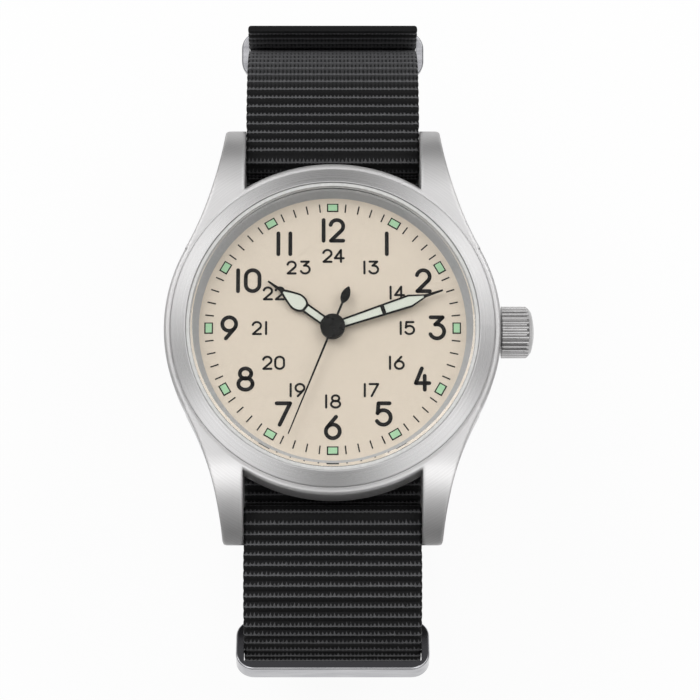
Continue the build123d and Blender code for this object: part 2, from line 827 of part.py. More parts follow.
# Step motor: the coil on its core, and the stator that joins the core to the rotor's hole
stator_low_z = plate_low_z - stator_thickness
core_low_z = stator_low_z - coil_core_height
coil_z = core_low_z + coil_core_height / 2
with BuildPart() as coil:
    with BuildSketch(Plane.YZ.offset(-coil_half_length)):
        with Locations((coil_y, coil_z)):
            Rectangle(coil_width, coil_height)
    extrude(amount=2 * coil_half_length)
    fillet(coil.edges().filter_by(Axis.X), radius=coil_corner_radius)
    with BuildSketch(Plane.YZ.offset(-coil_half_length - coil_flange_width)):
        with Locations((coil_y, coil_z)):
            Rectangle(coil_width + coil_flange_width, coil_flange_height)
    extrude(amount=coil_flange_width)
    with BuildSketch(Plane.YZ.offset(coil_half_length)):
        with Locations((coil_y, coil_z)):
            Rectangle(coil_width + coil_flange_width, coil_flange_height)
    extrude(amount=coil_flange_width)
    with BuildSketch(Plane.XY.offset(core_low_z)):
        with Locations((0, coil_y)):
            Rectangle(coil_core_length, coil_core_width)
    extrude(amount=coil_core_height)
coil.part.label = "coil"
export_step(coil.part, "parts/coil.step")

with BuildPart() as stator:
    with BuildSketch(Plane.XY.offset(stator_low_z)) as stator_plan:
        with Locations(rotor_place):
            Circle(stator_eye_radius)
        for side in (-1, 1):
            foot = (side * stator_foot_x, coil_y)
            elbow = (side * stator_foot_x, rotor_place[1])
            with BuildLine():
                arm = Polyline(rotor_place, elbow, foot)
            trace(arm, line_width=stator_arm_width)
        with Locations(rotor_place):
            Circle(magnet_radius + stator_rotor_gap, mode=Mode.SUBTRACT)
    extrude(amount=stator_thickness)
stator.part.label = "stator"
export_step(stator.part, "parts/stator.step")

# The going train, from the rotor to the seconds and centre wheels
with BuildPart() as rotor:
    extrude(disc(rotor_place, seconds_arbor_radius, bridge_top_z + endshake),
            amount=train_gap - 2 * endshake)
    extrude(disc(rotor_place, pivot_radius, bridge_top_z - pivot_length),
            amount=train_gap + 2 * pivot_length)
    extrude(gear(rotor_teeth, rotor_module, gap_angle(rotor_teeth, rotor_angle + 180), rotor_place,
                 bridge_top_z + rotor_pinion_lift), amount=pinion_height)
    extrude(disc(rotor_place, magnet_radius, bridge_top_z + magnet_lift), amount=magnet_height)
rotor.part.label = "rotor"
export_step(rotor.part, "parts/rotor.step")

with BuildPart() as intermediate_wheel:
    extrude(disc(intermediate_place, arbor_radius, bridge_top_z + endshake),
            amount=intermediate_wheel_lift + wheel_thickness)
    extrude(disc(intermediate_place, pivot_radius, bridge_top_z - pivot_length),
            amount=train_gap + 2 * pivot_length)
    extrude(gear(train_pinion_teeth, step_module, gap_angle(train_pinion_teeth, intermediate_angle + 180),
                 intermediate_place, bridge_top_z + intermediate_pinion_lift), amount=pinion_height)
    extrude(gear(intermediate_teeth, rotor_module, rotor_angle, intermediate_place,
                 bridge_top_z + intermediate_wheel_lift), amount=wheel_thickness)
intermediate_wheel.part.label = "intermediate_wheel"
export_step(intermediate_wheel.part, "parts/intermediate_wheel.step")

seconds_arbor_top_z = hub_top_z + second_blade_thickness
with BuildPart() as seconds_wheel:
    extrude(disc((0, 0), pivot_radius, bridge_top_z - pivot_length), amount=pivot_length + endshake)
    extrude(disc((0, 0), seconds_arbor_radius, bridge_top_z + endshake),
            amount=seconds_arbor_top_z - bridge_top_z - endshake)
    extrude(gear(seconds_teeth, step_module, intermediate_angle, (0, 0), bridge_top_z + seconds_wheel_lift),
            amount=wheel_thickness)
    extrude(gear(train_pinion_teeth, train_module, gap_angle(train_pinion_teeth, third_angle), (0, 0),
                 bridge_top_z + seconds_pinion_lift), amount=pinion_height)
seconds_wheel.part.label = "seconds_wheel"
export_step(seconds_wheel.part, "parts/seconds_wheel.step")

with BuildPart() as third_wheel:
    extrude(disc(third_place, arbor_radius, bridge_top_z + endshake), amount=train_gap - 2 * endshake)
    extrude(disc(third_place, pivot_radius, bridge_top_z - pivot_length),
            amount=train_gap + 2 * pivot_length)
    extrude(gear(third_teeth, train_module, third_angle + 180, third_place,
                 bridge_top_z + third_wheel_lift),
            amount=wheel_thickness)
    extrude(gear(train_pinion_teeth, centre_module, gap_angle(train_pinion_teeth, third_angle + 180),
                 third_place, bridge_top_z + third_pinion_lift), amount=pinion_height)
third_wheel.part.label = "third_wheel"
export_step(third_wheel.part, "parts/third_wheel.step")

centre_low_z = bridge_top_z + centre_wheel_lift - endshake
with BuildPart() as centre_wheel:
    extrude(gear(centre_teeth, centre_module, third_angle, (0, 0), bridge_top_z + centre_wheel_lift),
            amount=wheel_thickness)
    extrude(disc((0, 0), centre_arbor_radius, centre_low_z),
            amount=plate_top_z + centre_arbor_reach - centre_low_z)
    extrude(disc((0, 0), centre_bore_radius, centre_low_z),
            amount=plate_top_z + centre_arbor_reach - centre_low_z,
            mode=Mode.SUBTRACT)
centre_wheel.part.label = "centre_wheel"
export_step(centre_wheel.part, "parts/centre_wheel.step")

# The motion work under the dial
minute_hand_z = dial_top_z + minute_hand_lift
hour_hand_z = dial_top_z + hour_hand_lift
cannon_top_z = minute_hand_z + hand_thickness
with BuildPart() as cannon_pinion:
    extrude(gear(cannon_teeth, cannon_module, gap_angle(cannon_teeth, minute_wheel_angle), (0, 0),
                 plate_top_z + cannon_lift), amount=motion_pinion_height)
    extrude(disc((0, 0), cannon_tube_radius, plate_top_z + cannon_lift),
            amount=cannon_top_z - plate_top_z - cannon_lift)
    extrude(disc((0, 0), centre_arbor_radius + running_gap, plate_top_z),
            amount=centre_arbor_reach + endshake, mode=Mode.SUBTRACT)
    extrude(disc((0, 0), centre_bore_radius, plate_top_z), amount=cannon_top_z - plate_top_z,
            mode=Mode.SUBTRACT)
cannon_pinion.part.label = "cannon_pinion"
export_step(cannon_pinion.part, "parts/cannon_pinion.step")

with BuildPart() as minute_wheel:
    extrude(gear(minute_wheel_teeth, cannon_module, minute_wheel_angle + 180, minute_wheel_place,
                 plate_top_z + cannon_lift + endshake), amount=wheel_thickness)
    extrude(gear(minute_pinion_teeth, hour_module, gap_angle(minute_pinion_teeth, minute_wheel_angle + 180),
                 minute_wheel_place, plate_top_z + cannon_lift + endshake),
            amount=motion_post_height - cannon_lift - endshake)
    extrude(disc(minute_wheel_place, arbor_radius, plate_top_z), amount=motion_post_height,
            mode=Mode.SUBTRACT)
minute_wheel.part.label = "minute_wheel"
export_step(minute_wheel.part, "parts/minute_wheel.step")

hour_wheel_z = plate_top_z + hour_wheel_lift
with BuildPart() as hour_wheel:
    extrude(gear(hour_wheel_teeth, hour_module, minute_wheel_angle, (0, 0), hour_wheel_z),
            amount=wheel_thickness)
    extrude(disc((0, 0), hour_pipe_radius, hour_wheel_z),
            amount=hour_hand_z + hand_thickness - hour_wheel_z)
    extrude(disc((0, 0), cannon_tube_radius + running_gap, hour_wheel_z),
            amount=hour_hand_z + hand_thickness - hour_wheel_z, mode=Mode.SUBTRACT)
hour_wheel.part.label = "hour_wheel"
export_step(hour_wheel.part, "parts/hour_wheel.step")

# Hands, each with a window that its luminous filling lies in
hour_stem = ((0, hour_stem_width / 2), (hour_leaf_wide, hour_stem_width / 2))
hour_leaf = ((hour_leaf_start, hour_stem_width / 2), (hour_leaf_wide, hour_width / 2),
             (hour_needle_start, needle_width / 2))
hour_tip = ((hour_leaf_wide, needle_width / 2), (hour_needle_start, needle_width / 2),
            (hour_length, needle_tip_width / 2))
stem_half = hour_stem_width / 2 - hand_border
stem_window = ((hour_hub_radius + window_hub_gap, stem_half),
               (hour_leaf_start - hour_bar_width / 2, stem_half))
leaf_window = ((hour_leaf_start + hour_bar_width / 2, stem_half),
               (hour_leaf_wide, hour_width / 2 - hand_border),
               (hour_needle_start - 2 * hand_border, needle_width / 4))
leaf_bends = (hour_leaf_swell, hour_leaf_taper)
with BuildPart() as hour_hand:
    extrude(needle(hour_stem, hour_angle, hour_hand_z), amount=hand_thickness)
    extrude(leaf(hour_leaf, leaf_bends, hour_angle, hour_hand_z), amount=hand_thickness)
    extrude(needle(hour_tip, hour_angle, hour_hand_z), amount=hand_thickness)
    extrude(disc((0, 0), hour_hub_radius, hour_hand_z), amount=hand_thickness)
    extrude(disc((0, 0), hour_pipe_radius, hour_hand_z), amount=hand_thickness, mode=Mode.SUBTRACT)
    extrude(needle(stem_window, hour_angle, hour_hand_z), amount=hand_thickness, mode=Mode.SUBTRACT)
    extrude(leaf(leaf_window, leaf_bends, hour_angle, hour_hand_z), amount=hand_thickness,
            mode=Mode.SUBTRACT)
hour_hand.part.label = "hour_hand"
export_step(hour_hand.part, "parts/hour_hand.step")

with BuildPart() as hour_hand_lume:
    extrude(needle(stem_window, hour_angle, hour_hand_z), amount=lume_thickness)
    extrude(leaf(leaf_window, leaf_bends, hour_angle, hour_hand_z), amount=lume_thickness)
hour_hand_lume.part.label = "hour_hand_lume"
export_step(hour_hand_lume.part, "parts/hour_hand_lume.step")


def minute_half(out):
    """Half the minute hand's width at a distance out, up to its widest place."""
    share = out / minute_wide
    return (minute_root_width + (minute_width - minute_root_width) * share) / 2


minute_points = ((0, minute_root_width / 2), (minute_wide, minute_width / 2),
                 (minute_needle_start, needle_width / 2), (minute_length, needle_tip_width / 2))
window_start = minute_hub_radius + window_hub_gap
window_break = minute_bar_at - minute_bar_width / 2
window_resume = minute_bar_at + minute_bar_width / 2
minute_windows = (((window_start, minute_half(window_start) - hand_border),
                   (window_break, minute_half(window_break) - hand_border)),
                  ((window_resume, minute_half(window_resume) - hand_border),
                   (minute_wide, minute_width / 2 - hand_border),
                   (minute_needle_start - hand_border, needle_width / 4)))
with BuildPart() as minute_hand:
    extrude(needle(minute_points, minute_angle, minute_hand_z), amount=hand_thickness)
    extrude(disc((0, 0), minute_hub_radius, minute_hand_z), amount=hand_thickness)
    extrude(disc((0, 0), cannon_tube_radius, minute_hand_z), amount=hand_thickness, mode=Mode.SUBTRACT)
    for window in minute_windows:
        extrude(needle(window, minute_angle, minute_hand_z), amount=hand_thickness, mode=Mode.SUBTRACT)
minute_hand.part.label = "minute_hand"
export_step(minute_hand.part, "parts/minute_hand.step")

with BuildPart() as minute_hand_lume:
    for window in minute_windows:
        extrude(needle(window, minute_angle, minute_hand_z), amount=lume_thickness)
minute_hand_lume.part.label = "minute_hand_lume"
export_step(minute_hand_lume.part, "parts/minute_hand_lume.step")

second_points = ((0, second_width / 2), (second_length, second_tip_width / 2))
tail_stem = ((0, second_width / 2), (second_tail_wide, second_width / 2))
tail_leaf = ((second_tail_start, second_width / 2), (second_tail_wide, second_tail_width / 2),
             (second_tail_end, second_tip_width / 2))
tail_bends = (second_tail_swell, second_tail_taper)
with BuildPart() as seconds_hand:
    extrude(needle(second_points, second_angle, hub_top_z), amount=second_blade_thickness)
    extrude(needle(tail_stem, second_angle + 180, hub_top_z), amount=second_blade_thickness)
    extrude(leaf(tail_leaf, tail_bends, second_angle + 180, hub_top_z), amount=second_blade_thickness)
    extrude(disc((0, 0), second_cap_radius, hub_top_z), amount=second_cap_height)
    extrude(disc((0, 0), second_pin_radius, hub_top_z + second_cap_height), amount=second_pin_height)
    extrude(disc((0, 0), seconds_arbor_radius, hub_top_z), amount=second_blade_thickness,
            mode=Mode.SUBTRACT)
seconds_hand.part.label = "seconds_hand"
export_step(seconds_hand.part, "parts/seconds_hand.step")

# Crown: fluted grip, shoulder and low cap, hollow where it covers the tube
crown_grip_end_x = crown_start_x + crown_grip_length
crown_shoulder_x = crown_grip_end_x + crown_shoulder_length
crown_end_x = crown_shoulder_x + crown_cap_length
crown_axis = Axis((0, 0, crown_z), (1, 0, 0))
with BuildPart() as crown:
    with BuildSketch(Plane.XZ):
        with BuildLine():
            cap_arc = TangentArc((crown_end_x, crown_z),
                                 (crown_shoulder_x, crown_z + crown_shoulder_radius), tangent=(0, 1))
            Polyline((crown_end_x, crown_z), (crown_start_x, crown_z),
                     (crown_start_x, crown_z + crown_radius), (crown_grip_end_x, crown_z + crown_radius),
                     (crown_grip_end_x + crown_shoulder_length / 2, crown_z + crown_root_radius),
                     cap_arc @ 1)
        make_face()
    revolve(axis=crown_axis)
    with BuildSketch(Plane.YZ.offset(crown_start_x)):
        with Locations((0, crown_z)):
            with PolarLocations(crown_radius, crown_flute_count):
                Circle(crown_flute_radius)
    extrude(amount=crown_grip_length + crown_shoulder_length, mode=Mode.SUBTRACT)
    with BuildSketch(Plane.YZ.offset(crown_start_x)):
        with Locations((0, crown_z)):
            Circle(crown_recess_radius)
    extrude(amount=crown_recess_depth, mode=Mode.SUBTRACT)
    with BuildSketch(Plane.YZ.offset(crown_start_x)):
        with Locations((0, crown_z)):
            Circle(stem_radius)
    extrude(amount=crown_recess_depth + stem_radius, mode=Mode.SUBTRACT)
crown.part.label = "crown"
export_step(crown.part, "parts/crown.step")

with BuildPart() as crown_gasket:
    with BuildSketch(Plane.YZ.offset(crown_start_x + crown_seal_inset)):
        with Locations((0, crown_z)):
            Circle(crown_recess_radius)
            Circle(tube_radius + slip_gap, mode=Mode.SUBTRACT)
    extrude(amount=crown_seal_width)
crown_gasket.part.label = "crown_gasket"
export_step(crown_gasket.part, "parts/crown_gasket.step")

with BuildPart() as crown_tube:
    with BuildSketch(Plane.YZ.offset(tube_start_x)):
        with Locations((0, crown_z)):
            Circle(tube_radius)
            Circle(tube_bore_radius, mode=Mode.SUBTRACT)
    extrude(amount=tube_end_x - tube_start_x)
crown_tube.part.label = "crown_tube"
export_step(crown_tube.part, "parts/crown_tube.step")

stem_seat_x = crown_start_x + crown_recess_depth + stem_radius
with BuildPart() as winding_stem:
    for start_x, end_x, radius in ((stem_end_x, stem_groove_start_x, stem_radius),
                                   (stem_groove_start_x, stem_groove_end_x, stem_groove_radius),
                                   (stem_groove_end_x, stem_seat_x, stem_radius)):
        with BuildSketch(Plane.YZ.offset(start_x)):
            with Locations((0, crown_z)):
                Circle(radius)
        extrude(amount=end_x - start_x)
winding_stem.part.label = "winding_stem"
export_step(winding_stem.part, "parts/winding_stem.step")

with BuildPart() as clutch_pinion:
    with BuildSketch(Plane.YZ.offset(clutch_start_x)):
        with Locations((0, crown_z)):
            Circle(clutch_radius)
            with PolarLocations(clutch_radius, clutch_teeth):
                Circle(clutch_radius / clutch_teeth, mode=Mode.SUBTRACT)
            Circle(stem_radius + running_gap, mode=Mode.SUBTRACT)
    extrude(amount=clutch_length)
clutch_pinion.part.label = "clutch_pinion"
export_step(clutch_pinion.part, "parts/clutch_pinion.step")

with BuildPart() as setting_lever:
    with BuildSketch(Plane.XY.offset(plate_top_z)):
        with Locations((lever_pin_place[0] - lever_width / 2, lever_pin_place[1] + lever_length / 2)):
            SlotOverall(lever_length + lever_width, lever_width, rotation=-60)
    extrude(amount=lever_thickness)
    extrude(disc(lever_pin_place, lever_pin_radius, crown_z - stem_radius / 2),
            amount=plate_top_z - crown_z + stem_radius / 2 + lever_thickness)
setting_lever.part.label = "setting_lever"
export_step(setting_lever.part, "parts/setting_lever.step")


def spring_bar(side):
    """A sprung bar between two lugs: body, collars and the pivots in the lugs' holes."""
    body = lug_inner_x - slip_gap
    collar = body - bar_collar_width
    with BuildPart() as bar:
        for reach, radius in ((body + bar_pivot_length, bar_pivot_radius), (collar, bar_radius),
                              (body, bar_neck_radius)):
            with BuildSketch(Plane.YZ.offset(-reach)):
                with Locations((side * bar_y, bar_z)):
                    Circle(radius)
            extrude(amount=2 * reach)
        with BuildSketch(Plane.YZ.offset(body - bar_collar_width / 2)):
            with Locations((side * bar_y, bar_z)):
                Circle(bar_radius)
        extrude(amount=bar_collar_width / 2)
        with BuildSketch(Plane.YZ.offset(-body)):
            with Locations((side * bar_y, bar_z)):
                Circle(bar_radius)
        extrude(amount=bar_collar_width / 2)
    return bar


spring_bar_12 = spring_bar(1)
spring_bar_12.part.label = "spring_bar_12"
export_step(spring_bar_12.part, "parts/spring_bar_12.step")

spring_bar_6 = spring_bar(-1)
spring_bar_6.part.label = "spring_bar_6"
export_step(spring_bar_6.part, "parts/spring_bar_6.step")

# Route of the main webbing, from its stitched return by the buckle to the end of its tail
front_side = (front_side_y, front_side_z)
rear_side_y = rear_side_radius - rear_reach
rear_side = (rear_side_y, rear_side_z)
buckle_pin = (buckle_bar_y, buckle_bar_z)
front_bar = (bar_y, bar_z)
rear_bar = (-bar_y, bar_z)
front_leave = polar(front_bar, bar_wrap_radius, 90 - front_slope)
rear_leave = polar(rear_bar, bar_wrap_radius, 90 + rear_slope)
front_blend = blend_centre(front_leave, front_slope, 1, front_side, front_side_radius, front_blend_radius)
rear_blend_y = -(rear_reach - rear_blend_radius)
rear_slope_turn = math.radians(rear_slope)
rear_fall = (rear_leave[0] - rear_blend_y) * math.tan(rear_slope_turn)
rear_blend_z = rear_leave[1] - rear_fall - rear_blend_radius / math.cos(rear_slope_turn)
rear_blend = (rear_blend_y, rear_blend_z)
front_join_angle = bearing(front_side, front_blend)
slot_y = bar_y - bar_wrap_radius
slot_bend_y = slot_y - slot_bend_radius
slot_bend_z = under_z + slot_bend_radius
return_radius = front_side_radius - 2 * bar_fold_radius
tail_radius = front_side_radius + layer_step
drop_length = drop_end_y - drop_start_y
drop_turn = 2 * math.degrees(math.atan2(layer_step, drop_length))
drop_radius = drop_length / (2 * math.sin(math.radians(drop_turn)))
tail_flick_angle = front_join_angle - tail_below_bend
flick_start = polar(front_side, tail_radius, tail_flick_angle)
flick_centre = polar(flick_start, tail_flick_radius, tail_flick_angle)
flick_end = polar(flick_centre, tail_flick_radius, tail_flick_angle + 180 - tail_flick_turn)
tail_heading = tail_flick_angle + 90 - tail_flick_turn
tail_end = polar(flick_end, tail_free_length, tail_heading)
strap_route = [
    ("arc", front_side, return_radius, -90 + return_end_turn, -return_end_turn),
    ("line", (front_side_y, return_z), (buckle_bar_y, return_z)),
    ("arc", buckle_pin, bar_fold_radius, 90, 180),
    ("line", (buckle_bar_y, floor_z), (front_side_y, floor_z)),
    ("arc", front_side, front_side_radius, -90, 90 + front_join_angle),
    ("arc", front_blend, front_blend_radius, front_join_angle, 90 - front_slope - front_join_angle),
    ("line", polar(front_blend, front_blend_radius, 90 - front_slope), front_leave),
    ("arc", front_bar, bar_wrap_radius, 90 - front_slope, 90 + front_slope),
    ("line", (slot_y, bar_z), (slot_y, slot_bend_z)),
    ("arc", (slot_bend_y, slot_bend_z), slot_bend_radius, 0, -90),
    ("line", (slot_bend_y, under_z), (-slot_bend_y, under_z)),
    ("arc", (-slot_bend_y, slot_bend_z), slot_bend_radius, -90, -90),
    ("line", (-slot_y, slot_bend_z), (-slot_y, bar_z)),
    ("arc", rear_bar, bar_wrap_radius, 0, 90 + rear_slope),
    ("line", rear_leave, polar(rear_blend, rear_blend_radius, 90 + rear_slope)),
    ("arc", rear_blend, rear_blend_radius, 90 + rear_slope, 90 - rear_slope),
    ("line", (-rear_reach, rear_blend_z), (-rear_reach, rear_side_z)),
    ("arc", rear_side, rear_side_radius, 180, 90),
    ("line", (rear_side_y, floor_z), (drop_start_y, floor_z)),
    ("arc", (drop_start_y, floor_z - drop_radius), drop_radius, 90, -drop_turn),
    ("arc", (drop_end_y, tail_z + drop_radius), drop_radius, 270 - drop_turn, drop_turn),
    ("line", (drop_end_y, tail_z), (front_side_y, tail_z)),
    ("arc", front_side, tail_radius, -90, 90 + tail_flick_angle),
    ("arc", flick_centre, tail_flick_radius, tail_flick_angle + 180, -tail_flick_turn),
    ("line", flick_end, tail_end),
]
tongue_ring_radius = buckle_bar_radius + running_gap + tongue_ring_wall
slot_start_y = buckle_bar_y - bar_fold_radius - web_thickness
slot_end_y = buckle_bar_y + tongue_ring_radius + strap_slot_gap
tail_hole_turn = math.degrees(strap_hole_pitch / tail_radius)
rear_hole_turn = math.degrees(strap_hole_pitch / rear_side_radius)
with BuildPart() as strap:
    extrude(web_section(strap_route, web_thickness), amount=web_width / 2, both=True)
    # The slot that lets the tongue reach its bar
    with BuildSketch(Plane.XY.offset(floor_z - web_thickness / 2 - layer_gap / 2)):
        with Locations((0, (slot_start_y + slot_end_y) / 2)):
            Rectangle(tongue_width + 2 * strap_slot_gap, slot_end_y - slot_start_y)
    extrude(amount=2 * bar_fold_radius + web_thickness + layer_gap, mode=Mode.SUBTRACT)
    # The hole that the tongue goes through
    with BuildSketch(Plane.XY.offset(tail_z - web_thickness)):
        with Locations((0, tongue_hole_start_y + tongue_hole_length / 2)):
            SlotOverall(tongue_hole_length, tongue_width + 2 * tongue_side_gap, rotation=90)
    extrude(amount=3 * web_thickness / 2 + layer_gap / 2, mode=Mode.SUBTRACT)
    # Spare holes: up the tail, and up the rear side beyond the buckle
    for count in range(1, tail_hole_count + 1):
        angle = -90 + (count + 1) * tail_hole_turn
        place = polar(front_side, tail_radius + web_thickness, angle)
        inward = (0, front_side[0] - place[0], front_side[1] - place[1])
        with BuildSketch(Plane((0, place[0], place[1]), x_dir=(1, 0, 0), z_dir=inward)):
            Circle(strap_hole_radius)
        extrude(amount=3 * web_thickness / 2 + layer_gap / 2, mode=Mode.SUBTRACT)
    for count in range(1, rear_hole_count + 1):
        angle = -90 - count * rear_hole_turn
        place = polar(rear_side, rear_side_radius + web_thickness, angle)
        inward = (0, rear_side[0] - place[0], rear_side[1] - place[1])
        with BuildSketch(Plane((0, place[0], place[1]), x_dir=(1, 0, 0), z_dir=inward)):
            Circle(strap_hole_radius)
        extrude(amount=2 * web_thickness, mode=Mode.SUBTRACT)
    # The clipped corners of the tail
    tail_turn = math.radians(tail_heading)
    tail_plane = Plane((0, tail_end[0], tail_end[1]), x_dir=(1, 0, 0),
                       z_dir=(0, math.sin(tail_turn), -math.cos(tail_turn))).offset(-web_thickness)
    with BuildSketch(tail_plane):
        with Locations((-web_width / 2, 0), (web_width / 2, 0)):
            Rectangle(math.sqrt(2) * tail_corner, math.sqrt(2) * tail_corner, rotation=45)
    extrude(amount=2 * web_thickness, mode=Mode.SUBTRACT)
strap.part.label = "strap"
export_step(strap.part, "parts/strap.step")

# Route of the lining: up the front side, under the main webbing, and round the head ring's bar
lining_radius = front_side_radius - layer_step
front_lining = blend_centre((0, lining_z), 0, 1, front_side, lining_radius, lining_blend_radius)
lining_join_angle = bearing(front_side, front_lining)
ring_direction = 180 + head_ring_slope
ring_out_angle = 90 + head_ring_slope
ring_main_place = polar(rear_blend, rear_blend_radius, ring_out_angle)
ring_lining_place = polar(ring_main_place, -layer_step - lining_slack, ring_out_angle)
ring_level_share = 1 - math.cos(math.radians(head_ring_slope))
rear_bend_radius = (lining_z - ring_lining_place[1]) / ring_level_share
rear_bend = polar(ring_lining_place, -rear_bend_radius, ring_out_angle)
lining_fold_radius = (ring_wall + web_thickness) / 2 + head_ring_lining_gap
fold_start = polar(ring_lining_place, ring_length / 2, ring_direction)
fold_centre = polar(fold_start, -lining_fold_radius, ring_out_angle)
return_start = polar(fold_centre, -lining_fold_radius, ring_out_angle)
flap_start = polar(return_start, -ring_length / 2, ring_direction)
flap_radius = (lining_z - layer_step - flap_start[1]) / ring_level_share
flap_bend = polar(flap_start, -flap_radius, ring_out_angle)
flap_z = flap_bend[1] + flap_radius
lining_route = [
    ("arc", front_side, lining_radius, -90 + lining_start_turn,
     90 - lining_start_turn + lining_join_angle),
    ("arc", front_lining, lining_blend_radius, lining_join_angle, 90 - lining_join_angle),
    ("line", (front_lining[0], lining_z), (rear_bend[0], lining_z)),
    ("arc", rear_bend, rear_bend_radius, 90, head_ring_slope),
    ("line", ring_lining_place, fold_start),
    ("arc", fold_centre, lining_fold_radius, ring_out_angle, 180),
    ("line", return_start, flap_start),
    ("arc", flap_bend, flap_radius, ring_out_angle, -head_ring_slope),
    ("line", (flap_bend[0], flap_z), (flap_bend[0] + lining_return_length, flap_z)),
]
with BuildPart() as strap_underlayer:
    extrude(web_section(lining_route, web_thickness), amount=web_width / 2, both=True)
strap_underlayer.part.label = "strap_underlayer"
export_step(strap_underlayer.part, "parts/strap_underlayer.step")


def strap_ring(plane, opening):
    """A rounded rectangular ring round the webbing, on a plane across it."""
    inner_width = web_width + 2 * ring_side_gap
    with BuildPart() as ring:
        with BuildSketch(plane):
            RectangleRounded(inner_width + 2 * ring_side_wall, opening + 2 * ring_wall,
                             ring_corner_radius)
            RectangleRounded(inner_width, opening, ring_inner_corner_radius, mode=Mode.SUBTRACT)
        extrude(amount=ring_length / 2, both=True)
        rims = [face.outer_wire().edges() for face in ring.faces().filter_by(plane)]
        fillet(rims[0] + rims[1], radius=ring_edge_radius)
    return ring


# Head ring: its inner bar lies in the lining's fold, its opening passes lining and main webbing
ring_middle_out = (head_ring_opening + ring_wall) / 2 - lining_fold_radius
head_middle = polar(ring_lining_place, ring_middle_out, ring_out_angle)
head_ring = strap_ring(loop_plane(head_middle, ring_direction), head_ring_opening)
head_ring.part.label = "head_ring"
export_step(head_ring.part, "parts/head_ring.step")

# Loose keeper: round lining, main webbing and tail on the front side
keeper_opening = 3 * web_thickness + 2 * layer_gap + 2 * ring_gap
keeper_angle = front_join_angle - keeper_below_bend
keeper_place = polar(front_side, front_side_radius, keeper_angle)
loose_keeper = strap_ring(loop_plane(keeper_place, keeper_angle + 90), keeper_opening)
loose_keeper.part.label = "loose_keeper"
export_step(loose_keeper.part, "parts/loose_keeper.step")

# Fixed keeper: its inner bar is held between the main webbing and the stitched return
fixed_opening_top_z = floor_z + web_thickness / 2 + keeper_gap
fixed_top_z = return_z - web_thickness / 2 - keeper_gap
fixed_opening_low_z = rest_z + ring_wall
fixed_width = web_width + 2 * ring_side_gap
fixed_end_y = front_side_y - keeper_from_bend
with BuildPart() as fixed_keeper:
    with BuildSketch(Plane.XZ.offset(-fixed_end_y)):
        with Locations((0, (fixed_top_z + rest_z) / 2)):
            RectangleRounded(fixed_width + 2 * ring_side_wall, fixed_top_z - rest_z, ring_wall)
        with Locations((0, (fixed_opening_top_z + fixed_opening_low_z) / 2)):
            Rectangle(fixed_width, fixed_opening_top_z - fixed_opening_low_z, mode=Mode.SUBTRACT)
    extrude(amount=ring_length)
fixed_keeper.part.label = "fixed_keeper"
export_step(fixed_keeper.part, "parts/fixed_keeper.step")

# Buckle frame: a U of front bar and two rails, cut to its side view, with eyes for the bar
rail_inner_x = web_width / 2 + buckle_rail_gap
rail_outer_x = rail_inner_x + buckle_rail_width
front_end_y = buckle_front_y + buckle_front_width
rear_end_y = buckle_bar_y + buckle_rear_reach
front_top_z = rest_z + buckle_front_height
rear_low_z = buckle_bar_z - buckle_rear_reach
rear_top_z = buckle_bar_z + buckle_rear_reach
with BuildPart() as buckle_frame:
    with BuildSketch(Plane.YZ.offset(-rail_outer_x)):
        with BuildLine():
            Polyline((buckle_front_y + buckle_bevel, rest_z), (front_end_y, rest_z),
                     (buckle_bar_y, rear_low_z), (rear_end_y - buckle_bevel, rear_low_z),
                     (rear_end_y, rear_low_z + buckle_bevel),
                     (rear_end_y, rear_top_z - buckle_bevel), (rear_end_y - buckle_bevel, rear_top_z),
                     (buckle_bar_y - buckle_rear_reach, rear_top_z), (front_end_y, front_top_z),
                     (buckle_front_y + buckle_bevel, front_top_z),
                     (buckle_front_y, front_top_z - buckle_bevel),
                     (buckle_front_y, rest_z + buckle_bevel), close=True)
        make_face()
    extrude(amount=2 * rail_outer_x)
    with BuildSketch(Plane.XY.offset(rest_z - overrun)):
        with Locations((0, (front_end_y + rear_end_y + overrun) / 2)):
            Rectangle(2 * rail_inner_x, rear_end_y + overrun - front_end_y)
    extrude(amount=rear_top_z - rest_z + 2 * overrun, mode=Mode.SUBTRACT)
    with BuildSketch(Plane.YZ.offset(-rail_outer_x)):
        with Locations(buckle_pin):
            Circle(buckle_bar_radius)
    extrude(amount=2 * rail_outer_x, mode=Mode.SUBTRACT)
    with BuildSketch(Plane.XY.offset(rest_z)):
        with Locations((0, (buckle_front_y + front_end_y) / 2)):
            Rectangle(tongue_width + 2 * tongue_notch_gap, buckle_front_width)
    extrude(amount=tongue_sink + tongue_thickness + tongue_notch_gap, mode=Mode.SUBTRACT)
    corner_edges = buckle_frame.edges().filter_by(Axis.Z).group_by(Axis.Y)[0]
    fillet(corner_edges.sort_by(Axis.X)[0], radius=buckle_corner_radius)
    corner_edges = buckle_frame.edges().filter_by(Axis.Z).group_by(Axis.Y)[0]
    fillet(corner_edges.sort_by(Axis.X)[-1], radius=buckle_corner_radius)
buckle_frame.part.label = "buckle_frame"
export_step(buckle_frame.part, "parts/buckle_frame.step")

with BuildPart() as buckle_bar:
    with BuildSketch(Plane.YZ.offset(-rail_outer_x)):
        with Locations(buckle_pin):
            Circle(buckle_bar_radius)
    extrude(amount=2 * rail_outer_x)
buckle_bar.part.label = "buckle_bar"
export_step(buckle_bar.part, "parts/buckle_bar.step")

# Tongue: an eye on the bar, a limb through the hole in the tail, a blade to the front bar
lean_turn = math.radians(tongue_lean)
half_limb = tongue_thickness / 2
limb_across = (-math.sin(lean_turn) * half_limb, math.cos(lean_turn) * half_limb)
blade_low_z = rest_z + tongue_sink
blade_top_z = blade_low_z + tongue_thickness
tip_y = buckle_front_y + tongue_tip_inset


